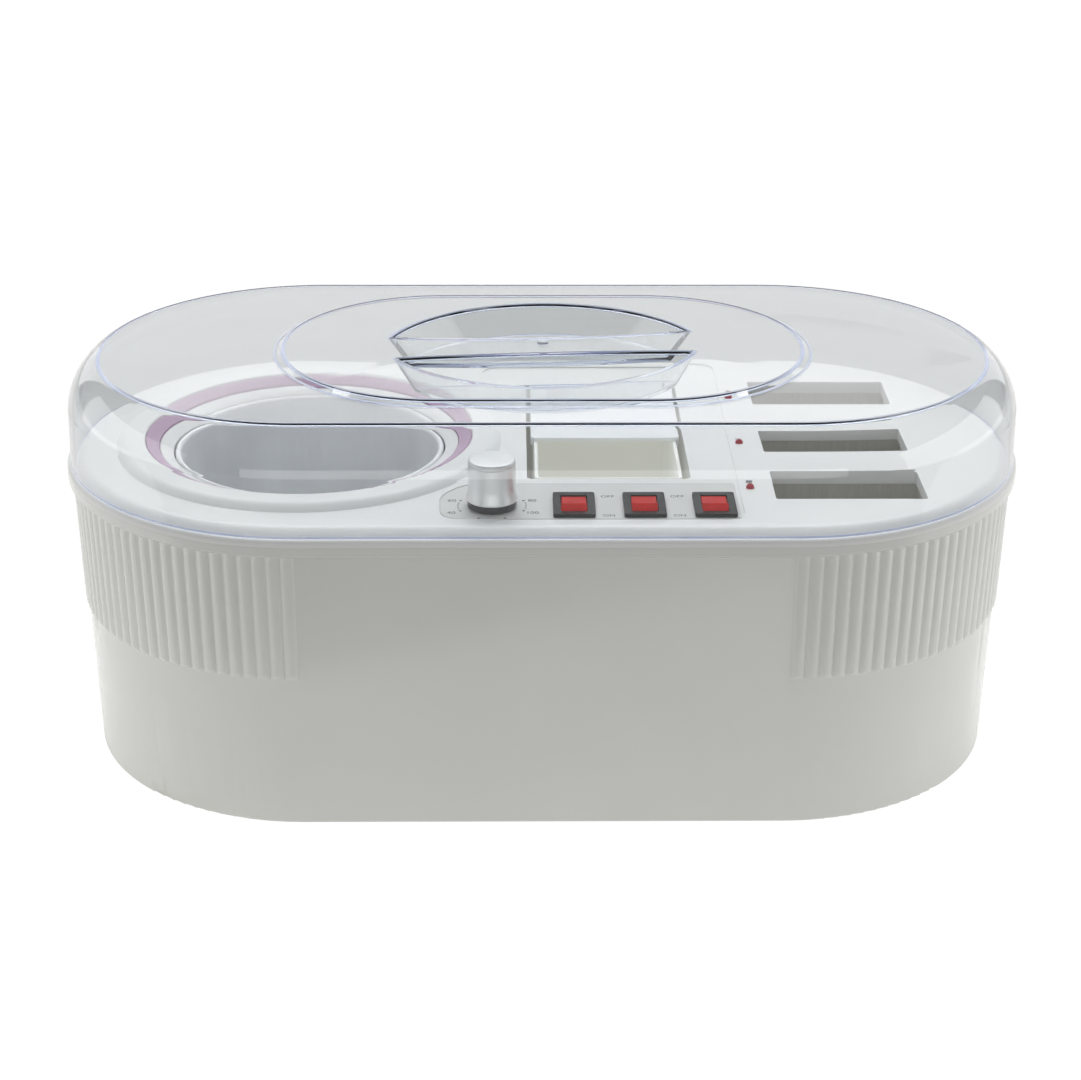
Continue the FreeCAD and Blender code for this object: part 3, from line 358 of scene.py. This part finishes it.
PRINT_LIFT = 0.02      # printed marks stand this far off the film, in millimetres
PRINT_T = 0.03
DIAL_R = 12.6
DOT_R = 0.5
NUMBER_REACH = 14.9    # numbers left and right of the knob's centre
NUMBER_ROWS = (4.8, -6.6)
LAMP_RISE = 1.7        # top of a lamp above the deck


def printed(bm, name, ink, body="housing"):
    """A flat printed mark, given the thickness of its ink."""
    recalc(bm)
    for face in bm.faces:
        if face.normal.z < 0:
            face.normal_flip()
    bmesh.ops.solidify(bm, geom=bm.faces[:], thickness=PRINT_T * MM)
    bmesh.ops.recalc_face_normals(bm, faces=bm.faces)
    return mesh_object(bm, name, body, ink)


def printed_dot(name, x, y, z, radius, ink):
    bm = bmesh.new()
    bmesh.ops.create_circle(bm, cap_ends=True, segments=24, radius=radius * MM,
                            matrix=Matrix.Translation((x * MM, y * MM, z * MM)))
    return printed(bm, name, ink)


def printed_bar(name, x, y, z, width, depth, ink):
    bm = bmesh.new()
    shape = Matrix.Translation((x * MM, y * MM, z * MM)) @ Matrix.Diagonal((width, depth, 1, 1))
    bmesh.ops.create_grid(bm, x_segments=1, y_segments=1, size=0.5 * MM, matrix=shape)
    return printed(bm, name, ink)


def printed_arc(name, centre, radius, start, sweep, z, width, ink):
    bm = bmesh.new()
    angle = math.radians(start)
    middle = Vector((centre[0], centre[1], z)) * MM
    out = Vector((math.cos(angle), math.sin(angle), 0)) * MM
    ends = [bm.verts.new(middle + out * r) for r in (radius - width / 2, radius + width / 2)]
    seed = bm.edges.new(ends)
    bmesh.ops.spin(bm, geom=ends + [seed], cent=(centre[0] * MM, centre[1] * MM, 0), axis=(0, 0, 1),
                   angle=math.radians(sweep), steps=20, use_merge=False, use_duplicate=False)
    return printed(bm, name, ink)


def printed_text(name, words, x, y, z, height, ink):
    """Plain lettering, made a mesh before it is put in its place."""
    curve = bpy.data.curves.new(name, "FONT")
    curve.body = words
    curve.size = height / 0.7 * MM
    curve.align_x = "CENTER"
    curve.align_y = "CENTER"
    holder = bpy.data.objects.new(name + "_outline", curve)
    mesh = bpy.data.meshes.new_from_object(holder)
    bm = bmesh.new()
    bm.from_mesh(mesh)
    bpy.data.objects.remove(holder)
    bpy.data.meshes.remove(mesh)
    bmesh.ops.translate(bm, verts=bm.verts, vec=(x * MM, y * MM, z * MM))
    return printed(bm, name, ink)


# ---------------------------------------------------------------------------
# Sizes and colours that a user would change
# ---------------------------------------------------------------------------
class WarmerSizes(bpy.types.PropertyGroup):
    lid_wall: bpy.props.FloatProperty(
        name="Lid wall", description="Thickness of the clear lid", default=2.0 * MM, min=0.5 * MM,
        unit="LENGTH", subtype="DISTANCE")
    lid_edge: bpy.props.FloatProperty(
        name="Lid edge radius", description="Rounding of the lid's moulded edges", default=0.45 * MM,
        min=0.0, unit="LENGTH", subtype="DISTANCE")
    plastic_edge: bpy.props.FloatProperty(
        name="Plastic edge radius", description="Rounding of the housing's moulded edges", default=0.3 * MM,
        min=0.0, unit="LENGTH", subtype="DISTANCE")
    print_height: bpy.props.FloatProperty(
        name="Number height", description="Height of the numbers printed round the knob", default=2.3 * MM,
        min=0.5 * MM, unit="LENGTH", subtype="DISTANCE")


class WarmerColours(bpy.types.PropertyGroup):
    housing: bpy.props.StringProperty(
        name="Housing", description="sRGB hex of the tub", default="EAEAE6")
    trim: bpy.props.StringProperty(
        name="Trim ring", description="sRGB hex of the ring round the pot", default="BE9FBA")
    overlay: bpy.props.StringProperty(
        name="Control panel", description="sRGB hex of the control film", default="DCDCD8")
    # the rockers' glow colour is painted light
    rocker: bpy.props.StringProperty(
        name="Rockers", description="sRGB hex that the switch rockers glow", default="D01408")
    lid: bpy.props.StringProperty(
        name="Lid", description="sRGB hex that the clear lid filters to", default="F4F6F6")
    lid_edge: bpy.props.StringProperty(
        name="Lid edges", description="sRGB hex of the lid's lit edges", default="C2CCE4")
    ink: bpy.props.StringProperty(
        name="Ink", description="sRGB hex of the printed marks", default="4A4A4C")


def sizes():
    return bpy.context.scene.warmer_sizes


def colours():
    return bpy.context.scene.warmer_colours


# ---------------------------------------------------------------------------
# Stage: floor, lights, camera
# ---------------------------------------------------------------------------
LENS = 80.34
CAMERA_ANGLES = (-0.74, 23.61, 0.21)    # azimuth, elevation and roll, in degrees
CAMERA_TARGET = (-0.63, 0.0, 79.5)      # millimetres
CAMERA_DISTANCE = 973.3
SKY = 0.28
SHEET_FRONT = -0.205                    # front edge of the pale sheet, in metres
# name, place, aim and size in metres, and power in watts
LAMPS = (
    ("overhead_softbox", (0.0, 0.9, 1.4), (0, 0, 0.1), (1.9, 0.9), 16.0),
    ("backdrop", (0.0, 2.6, 0.95), (0, 0, 0.3), (4.5, 1.9), 21.0),
    ("front_fill", (0.0, -2.1, 0.3), (0, 0, 0.06), (2.4, 0.6), 5.2),
    ("left_softbox", (-1.25, 0.0, 0.24), (0, 0, 0.06), (1.6, 0.8), 3.2),
    ("right_softbox", (1.25, 0.0, 0.24), (0, 0, 0.06), (1.6, 0.8), 3.7),
)


class WARMER_OT_stage(bpy.types.Operator):
    """Plain pale floor, soft studio light and the camera"""
    bl_idname = "warmer.stage"
    bl_label = "Stage"

    def execute(self, context):
        scene = context.scene
        scene.view_settings.view_transform = "Standard"
        scene.view_settings.look = "None"
        world = bpy.data.worlds.new("studio")
        scene.world = world
        world.use_nodes = True
        world.node_tree.nodes.clear()
        sky = add(world.node_tree, "ShaderNodeBackground", {"Color": (1, 1, 1, 1), "Strength": SKY})
        add(world.node_tree, "ShaderNodeOutputWorld", {"Surface": sky.outputs["Background"]})

        bm = bmesh.new()
        bmesh.ops.create_grid(bm, x_segments=1, y_segments=1, size=6.0)
        mesh = bpy.data.meshes.new("floor")
        bm.to_mesh(mesh)
        bm.free()
        floor = bpy.data.objects.new("floor", mesh)
        scene.collection.objects.link(floor)
        mesh.materials.append(self.paper())

        for lamp in LAMPS:
            self.softbox(*lamp)

        camera = bpy.data.cameras.new("camera")
        camera.lens = LENS
        camera.sensor_width = 36.0
        camera.clip_end = 20.0
        holder = bpy.data.objects.new("camera", camera)
        azimuth, elevation, roll = (math.radians(angle) for angle in CAMERA_ANGLES)
        away = Vector((math.sin(azimuth) * math.cos(elevation), -math.cos(azimuth) * math.cos(elevation),
                       math.sin(elevation)))
        holder.location = Vector(CAMERA_TARGET) * MM + away * CAMERA_DISTANCE * MM
        facing = away.to_track_quat("Z", "Y").to_matrix()
        holder.rotation_euler = (facing @ Matrix.Rotation(roll, 3, "Z")).to_euler()
        scene.collection.objects.link(holder)
        scene.camera = holder
        return {"FINISHED"}

    def softbox(self, name, at, toward, size, power):
        light = bpy.data.lights.new(name, "AREA")
        light.shape = "RECTANGLE"
        light.size, light.size_y = size
        light.energy = power
        holder = bpy.data.objects.new(name, light)
        holder.location = at
        holder.rotation_euler = (Vector(toward) - Vector(at)).to_track_quat("-Z", "Y").to_euler()
        bpy.context.scene.collection.objects.link(holder)

    def paper(self):
        """Pale floor: pure white where it is seen directly, a light grey through the clear lid, and
        for bounced light a softly lit sheet with a greyer table beyond its front edge."""
        material, tree = new_material("pale paper floor")
        place = add(tree, "ShaderNodeTexCoord").outputs["Object"]
        depth = add(tree, "ShaderNodeSeparateXYZ", {"Vector": place}).outputs["Y"]
        sheet = add(tree, "ShaderNodeMapRange", {
            "Value": depth, "From Min": SHEET_FRONT - 0.01, "From Max": SHEET_FRONT + 0.01})
        tone = ramp(tree, sheet.outputs["Result"], linear("8C8C8A"), linear("F2F2F0"), 0.0, 1.0)
        paper = add(tree, "ShaderNodeBsdfPrincipled", {
            "Base Color": tone, "Roughness": 0.9, "Emission Color": tone, "Emission Strength": 0.3})
        white = add(tree, "ShaderNodeEmission", {"Color": (1, 1, 1, 1), "Strength": 1.02})
        pale = add(tree, "ShaderNodeEmission", {"Color": (1, 1, 1, 1), "Strength": 0.61})
        rays = add(tree, "ShaderNodeLightPath")
        through = add(tree, "ShaderNodeMixShader", {
            0: rays.outputs["Is Transmission Ray"], 1: paper.outputs["BSDF"], 2: pale.outputs["Emission"]})
        seen = add(tree, "ShaderNodeMixShader", {
            0: rays.outputs["Is Camera Ray"], 1: through.outputs["Shader"], 2: white.outputs["Emission"]})
        finish_material(tree, seen.outputs["Shader"])
        return material


# ---------------------------------------------------------------------------
# Housing
# ---------------------------------------------------------------------------
class WARMER_OT_housing(bpy.types.Operator):
    """Ribbed tub, deck, control film and the marks printed on it"""
    bl_idname = "warmer.housing"
    bl_label = "Housing"

    def execute(self, context):
        tub = moulded_plastic("moulded white ABS tub", colours().housing, "E8E8E4", 0.17, specular=0.8)
        deck = moulded_plastic("moulded white ABS deck", "F2F2F0", "F0F0EE", 0.32)
        film = moulded_plastic("matt printed polycarbonate film", colours().overlay, "D9D9D5", 0.42,
                               grain_mm=0.5, relief_mm=0.003)
        ink = printed_ink("screen-printed grey ink", colours().ink)
        edge = sizes().plastic_edge / MM
        cad_copy("lower_housing", "tub", "housing", tub, bevel_mm=edge, angle=40)
        cad_copy("top_deck", "deck", "housing", deck, bevel_mm=edge, angle=40)
        cad_copy("control_overlay", "control_film", "housing", film, bevel_mm=0.12, angle=40)
        self.dial_marks(ink)
        self.switch_marks(ink)
        self.lamp_marks(ink)
        return {"FINISHED"}

    def dial_marks(self, ink):
        """Dots, two fine arcs and numbers printed round the knob."""
        x, y = KNOB_CENTRE
        z = FILM_HIGH.z + PRINT_LIFT
        for step in range(8):
            angle = math.radians(22.5 + 45.0 * step)
            dot_x = x + DIAL_R * math.cos(angle)
            dot_y = y + DIAL_R * math.sin(angle)
            printed_dot(f"dial_dot_{step + 1}", dot_x, dot_y, z, DOT_R, ink)
        for name, start in (("left", 164.0), ("right", -16.0)):
            printed_arc("dial_arc_" + name, (x, y), DIAL_R, start, 32.0, z, 0.22, ink)
        height = sizes().print_height / MM
        for side, numbers in ((-1, ("60", "40")), (1, ("80", "100"))):
            for row, number in zip(NUMBER_ROWS, numbers):
                number_x = x + side * NUMBER_REACH
                printed_text("dial_number_" + number, number, number_x, y + row, z, height, ink)

    def switch_marks(self, ink):
        """On and off marks beside the first two switches."""
        z = FILM_HIGH.z + PRINT_LIFT
        for number in SWITCH_NUMBERS[:2]:
            low, high = place_of("switch_body_%d" % number)
            x = high.x + 4.9
            middle = (low.y + high.y) / 2
            printed_text("off_mark_%d" % number, "OFF", x, middle + 9.6, z, 2.1, ink)
            printed_text("on_mark_%d" % number, "ON", x, middle - 8.4, z, 2.1, ink)

    def lamp_marks(self, ink):
        """A short bar printed behind each lamp."""
        z = place_of("top_deck")[1].z
        for name in BAY_NAMES:
            low, high = place_of("led_" + name)
            deck_z = high.z - LAMP_RISE + PRINT_LIFT
            middle = (low + high) / 2
            printed_bar("lamp_mark_" + name, middle.x, middle.y + 4.9, min(z, deck_z), 2.4, 0.8, ink)


# ---------------------------------------------------------------------------
# Lid
# ---------------------------------------------------------------------------
LID_WALL_H = 22.0
LID_TOP_H = 40.2
OVAL_RISE = 1.8
OVAL_R = 65.0
OVAL_HALF = 39.3
GRIP_R = 64.0
GRIP_TIP = 12.5
GRIP_HALF_L = 59.5
GRIP_LEAN = 5.0
GRIP_DEPTH = 12.0
GRIP_TURN = math.radians(4.0)
GATE_R = 2.2


class WARMER_OT_lid(bpy.types.Operator):
    """Clear moulded lid with a raised oval and a recessed grip"""
    bl_idname = "warmer.lid"
    bl_label = "Clear lid"

    def execute(self, context):
        low = LID_LOW.z
        waist = low + LID_WALL_H
        top = low + LID_TOP_H
        peak = top + OVAL_RISE
        reach = LID_HIGH.y
        half = LID_HIGH.x - reach
        bm = bmesh.new()
        # lower edge, upright wall, rounded shoulder, edge of the flat top
        shoulder = arc_through(
            (reach - 0.55, waist), (reach - 4.55, waist + 10.6), (reach - 12.0, top - 0.45), 14)
        swept_stadium(bm, [(reach, low), (reach - 0.3, low + 11.0)] + shoulder + [(reach - 13.0, top)], half)
        swept_stadium(bm, [(OVAL_R, top), (OVAL_R - 3.0, peak)], OVAL_HALF)
        bmesh.ops.bridge_loops(bm, edges=ring_at(bm, top))
        self.pocket(bm, 51.0, 8.0, False, peak)
        self.pocket(bm, 48.0, 10.0, True, peak)
        bmesh.ops.triangle_fill(bm, use_beauty=True, use_dissolve=False, edges=ring_at(bm, peak))
        recalc(bm)
        clear = clear_plastic("clear moulded styrene", colours().lid, 0.01)
        piece = mesh_object(bm, "lid", "lid", clear, 25.0)
        # the edge material's pale blue and glow are painted light for the light piped along the sheet
        piece.data.materials.append(lit_edge_plastic("clear styrene edge with painted light", colours().lid_edge))
        wall = piece.modifiers.new("wall", "SOLIDIFY")
        wall.thickness = sizes().lid_wall
        wall.offset = -1.0
        wall.use_even_offset = True
        wall.use_quality_normals = True
        edge = piece.modifiers.new("moulded edges", "BEVEL")
        edge.width = sizes().lid_edge
        edge.segments = 2
        edge.limit_method = "ANGLE"
        edge.angle_limit = math.radians(12.0)
        edge.harden_normals = True
        edge.material = 1
        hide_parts("clear_lid")
        # witness disc of the moulding gate, in the middle of the grip bar
        foot = peak - 0.1
        crest = peak + 0.28
        gate = [(0, foot), (GATE_R, foot), (GATE_R, crest - 0.08), (GATE_R - 0.2, crest), (0, crest)]
        turned("lid_gate", gate, (0.0, MM), "lid", clear_plastic("clear styrene gate", "D8DDE4", 0.05))
        return {"FINISHED"}

    def pocket(self, bm, back, bar, flip, peak):
        """Lens-shaped finger pocket with leaning walls, on one side of the grip bar."""
        before = set(bm.verts)
        self.lens(bm, back, bar, 0.0, peak)
        self.lens(bm, back, bar, GRIP_LEAN, peak - GRIP_DEPTH)
        made = [v for v in bm.verts if v not in before]
        if flip:
            bmesh.ops.scale(bm, verts=made, vec=(1, -1, 1))
        bmesh.ops.rotate(bm, verts=made, cent=(0, MM, 0), matrix=Matrix.Rotation(GRIP_TURN, 3, "Z"))
        bmesh.ops.remove_doubles(bm, verts=made, dist=1e-6)
        rings = [e for e in bm.edges if e.is_wire]
        bmesh.ops.bridge_loops(bm, edges=rings)
        foot = [e for e in rings if e.verts[0].co.z < (peak - 1.0) * MM]
        bmesh.ops.contextual_create(bm, geom=foot)

    def lens(self, bm, back, bar, lean, z):
        """Ring of edges between the pocket's outer arc and the gently curved side of the bar."""
        sag = GRIP_TIP - bar
        bar_full = GRIP_HALF_L ** 2 / (2 * sag) + sag / 2
        outer_y = back - GRIP_R
        bar_y = bar + bar_full
        outer_r = GRIP_R - lean
        bar_r = bar_full - lean
        span = bar_y - outer_y
        along = (outer_r ** 2 - bar_r ** 2 + span ** 2) / (2 * span)
        tip = math.sqrt(outer_r ** 2 - along ** 2)
        tip_y = outer_y + along
        arcs = (
            (tip, outer_y, math.pi - 2 * math.atan2(along, tip), 56),
            (-tip, bar_y, 2 * math.asin(tip / bar_r), 36),
        )
        for start_x, centre_y, angle, steps in arcs:
            seed = bm.verts.new((start_x * MM, tip_y * MM, z * MM))
            bmesh.ops.spin(bm, geom=[seed], cent=(0, centre_y * MM, 0), axis=(0, 0, 1), angle=angle,
                           steps=steps, use_merge=False, use_duplicate=False)


# ---------------------------------------------------------------------------
# Pot bay
# ---------------------------------------------------------------------------
class WARMER_OT_pot(bpy.types.Operator):
    """Trim ring, bezel ring, heater can and lift-out pot"""
    bl_idname = "warmer.pot"
    bl_label = "Pot bay"

    def execute(self, context):
        centre = (POT_CENTRE[0] * MM, POT_CENTRE[1] * MM)
        pot = spun_metal("spun anodised aluminium pot", "F8F9FA", "F0F1F2", 0.5, centre, bare=0.35)
        can = spun_metal("drawn aluminium can", "CFD0D0", "C2C3C4", 0.45, centre, ring_mm=0.8)
        trim = moulded_plastic("moulded pink ABS ring", colours().trim, "BA9BB6", 0.32)
        white = moulded_plastic("moulded white ABS ring", "EDEDEC", "E8E8E7", 0.32)
        cad_copy("inner_pot", "pot", "pot", pot, bevel_mm=0.0, angle=40)
        cad_copy("pot_heater_can", "heater_can", "housing", can, bevel_mm=0.2, angle=40)
        cad_copy("collar_trim_ring", "trim_ring", "housing", trim, bevel_mm=0.25, angle=30)
        cad_copy("pot_bezel_ring", "bezel_ring", "housing", white, bevel_mm=0.3, angle=30)
        return {"FINISHED"}


# ---------------------------------------------------------------------------
# Box bay
# ---------------------------------------------------------------------------
class WARMER_OT_box(bpy.types.Operator):
    """Accessory box and its sliding half cover"""
    bl_idname = "warmer.box"
    bl_label = "Box bay"

    def execute(self, context):
        # the box plastic's glow of 0.15 is painted light that brightens the box's shaded inside
        grey = moulded_plastic("moulded translucent polypropylene with painted glow", "F0F0EB", "EAEAE5", 0.45, glow=0.15)
        white = moulded_plastic("moulded bright white ABS", "FAFBFC", "F6F7F8", 0.30)
        cad_copy("accessory_box", "strip_box", "box", grey, bevel_mm=0.35, angle=40)
        cad_copy("box_cover", "half_cover", "cover", white, bevel_mm=0.6, angle=40, segments=3)
        return {"FINISHED"}


# ---------------------------------------------------------------------------
# Cartridge bays and lamps
# ---------------------------------------------------------------------------
class WARMER_OT_cartridges(bpy.types.Operator):
    """Three cartridge chambers with their lamps"""
    bl_idname = "warmer.cartridges"
    bl_label = "Cartridge bays"

    def execute(self, context):
        metal = drawn_metal("drawn aluminium chamber", "DFDDD6", "D3D1CA", 0.5, bare=0.5)
        red = lens_plastic("red epoxy lamp", "B4464E", "A03A42", "B4464E", 0.1)
        for place in BAY_NAMES:
            cad_copy("cartridge_chamber_" + place, "chamber_" + place, "housing", metal,
                     bevel_mm=0.3, angle=40)
            cad_copy("led_" + place, "lamp_" + place, "housing", red, bevel_mm=0.0, angle=40)
        return {"FINISHED"}


# ---------------------------------------------------------------------------
# Controls
# ---------------------------------------------------------------------------
class WARMER_OT_knob(bpy.types.Operator):
    """Turned aluminium knob on its black base ring"""
    bl_idname = "warmer.knob"
    bl_label = "Knob"

    def execute(self, context):
        centre = (KNOB_CENTRE[0] * MM, KNOB_CENTRE[1] * MM)
        metal = spun_metal("turned satin aluminium", "EFEFEE", "E6E6E5", 0.36, centre, ring_mm=0.25,
                           relief_mm=0.003, bare=0.75)
        black = moulded_plastic("moulded black nylon", "2A2A2C", "343436", 0.26)
        cad_copy("temperature_knob", "knob", "knob", metal, bevel_mm=0.25, angle=25, segments=3)
        cad_copy("knob_base_ring", "knob_ring", "knob", black, bevel_mm=0.2, angle=40)
        return {"FINISHED"}


class WARMER_OT_switches(bpy.types.Operator):
    """Three rocker switches"""
    bl_idname = "warmer.switches"
    bl_label = "Rocker switches"

    def execute(self, context):
        black = moulded_plastic("moulded black nylon bezel", "0B0B0C", "111112", 0.42, specular=0.3)
        # the rockers' glow of 0.38 is painted light that brightens the red
        red = lens_plastic("red translucent polycarbonate with painted glow", "A01009", "8C0D08", colours().rocker, 0.38)
        for number in SWITCH_NUMBERS:
            rocker = "rocker_%d" % number
            cad_copy("switch_body_%d" % number, "switch_%d" % number, "housing", black,
                     bevel_mm=0.35, angle=40, segments=3)
            cad_copy("switch_" + rocker, rocker, rocker, red, bevel_mm=0.45, angle=20, segments=3)
        return {"FINISHED"}


# ---------------------------------------------------------------------------
# Inner and underside pieces that keep their CAD shape
# ---------------------------------------------------------------------------
class WARMER_OT_inside(bpy.types.Operator):
    """Finishes for the pieces inside and under the housing"""
    bl_idname = "warmer.inside"
    bl_label = "Inside and underside"

    def execute(self, context):
        steel = drawn_metal("zinc-plated steel", "B9B9B6", "A8A8A5", 0.32)
        brass = drawn_metal("stamped brass", "C9B26A", "B59E58", 0.30)
        black = moulded_plastic("moulded black phenolic", "161616", "1E1E1E", 0.45)
        rubber = moulded_plastic("moulded black rubber", "262626", "2E2E2E", 0.75, relief_mm=0.02)
        felt = moulded_plastic("needled glass-fibre felt", "DAD6C8", "C9C4B4", 0.95, grain_mm=1.2,
                               relief_mm=0.4)
        silicone = moulded_plastic("moulded silicone heater", "9C4A30", "8A3E28", 0.6)
        board = moulded_plastic("solder-resist board", "1E5A34", "184C2B", 0.4)
        wire = moulded_plastic("extruded wire insulation", "5C5F64", "54575C", 0.5)
        finishes = {
            steel: ("housing_screws", "board_screws", "inlet_screws", "thermostat_nut", "thermostat_shaft",
                    "chamber_support", "chamber_heater_front", "chamber_heater_middle", "chamber_heater_rear",
                    "thermostat_capillary"),
            brass: ("switch_terminals", "inlet_pins"),
            black: ("mains_inlet", "thermostat_control", "chamber_thermal_cutouts", "pot_thermal_cutout",
                    "board_components"),
            rubber: ("rubber_feet",),
            felt: ("pot_insulation",),
            silicone: ("pot_heater_band",),
            board: ("control_board",),
            wire: ("wiring_harness",),
        }
        for material, nodes in finishes.items():
            for node in nodes:
                mesh = NODES[node].data
                mesh.materials.clear()
                mesh.materials.append(material)
        return {"FINISHED"}


class WARMER_PT_panel(bpy.types.Panel):
    """Sizes, colours and the steps that make the appliance"""
    bl_idname = "WARMER_PT_panel"
    bl_label = "Warmer"
    bl_space_type = "VIEW_3D"
    bl_region_type = "UI"
    bl_category = "Warmer"

    def draw(self, context):
        layout = self.layout
        for group in (context.scene.warmer_sizes, context.scene.warmer_colours):
            column = layout.column()
            for key in group.__annotations__:
                column.prop(group, key)
        for operator in STEPS:
            layout.operator(operator.bl_idname)


STEPS = (
    WARMER_OT_stage,
    WARMER_OT_housing,
    WARMER_OT_lid,
    WARMER_OT_pot,
    WARMER_OT_box,
    WARMER_OT_cartridges,
    WARMER_OT_knob,
    WARMER_OT_switches,
    WARMER_OT_inside,
)
CLASSES = (WarmerSizes, WarmerColours) + STEPS + (WARMER_PT_panel,)


def register():
    for item in CLASSES:
        bpy.utils.register_class(item)
    bpy.types.Scene.warmer_sizes = bpy.props.PointerProperty(type=WarmerSizes)
    bpy.types.Scene.warmer_colours = bpy.props.PointerProperty(type=WarmerColours)


def unregister():
    del bpy.types.Scene.warmer_colours
    del bpy.types.Scene.warmer_sizes
    for item in reversed(CLASSES):
        bpy.utils.unregister_class(item)


def main():
    register()
    bpy.ops.warmer.stage()
    bpy.ops.warmer.housing()
    bpy.ops.warmer.lid()
    bpy.ops.warmer.pot()
    bpy.ops.warmer.box()
    bpy.ops.warmer.cartridges()
    bpy.ops.warmer.knob()
    bpy.ops.warmer.switches()
    bpy.ops.warmer.inside()


if __name__ == "__main__":
    main()
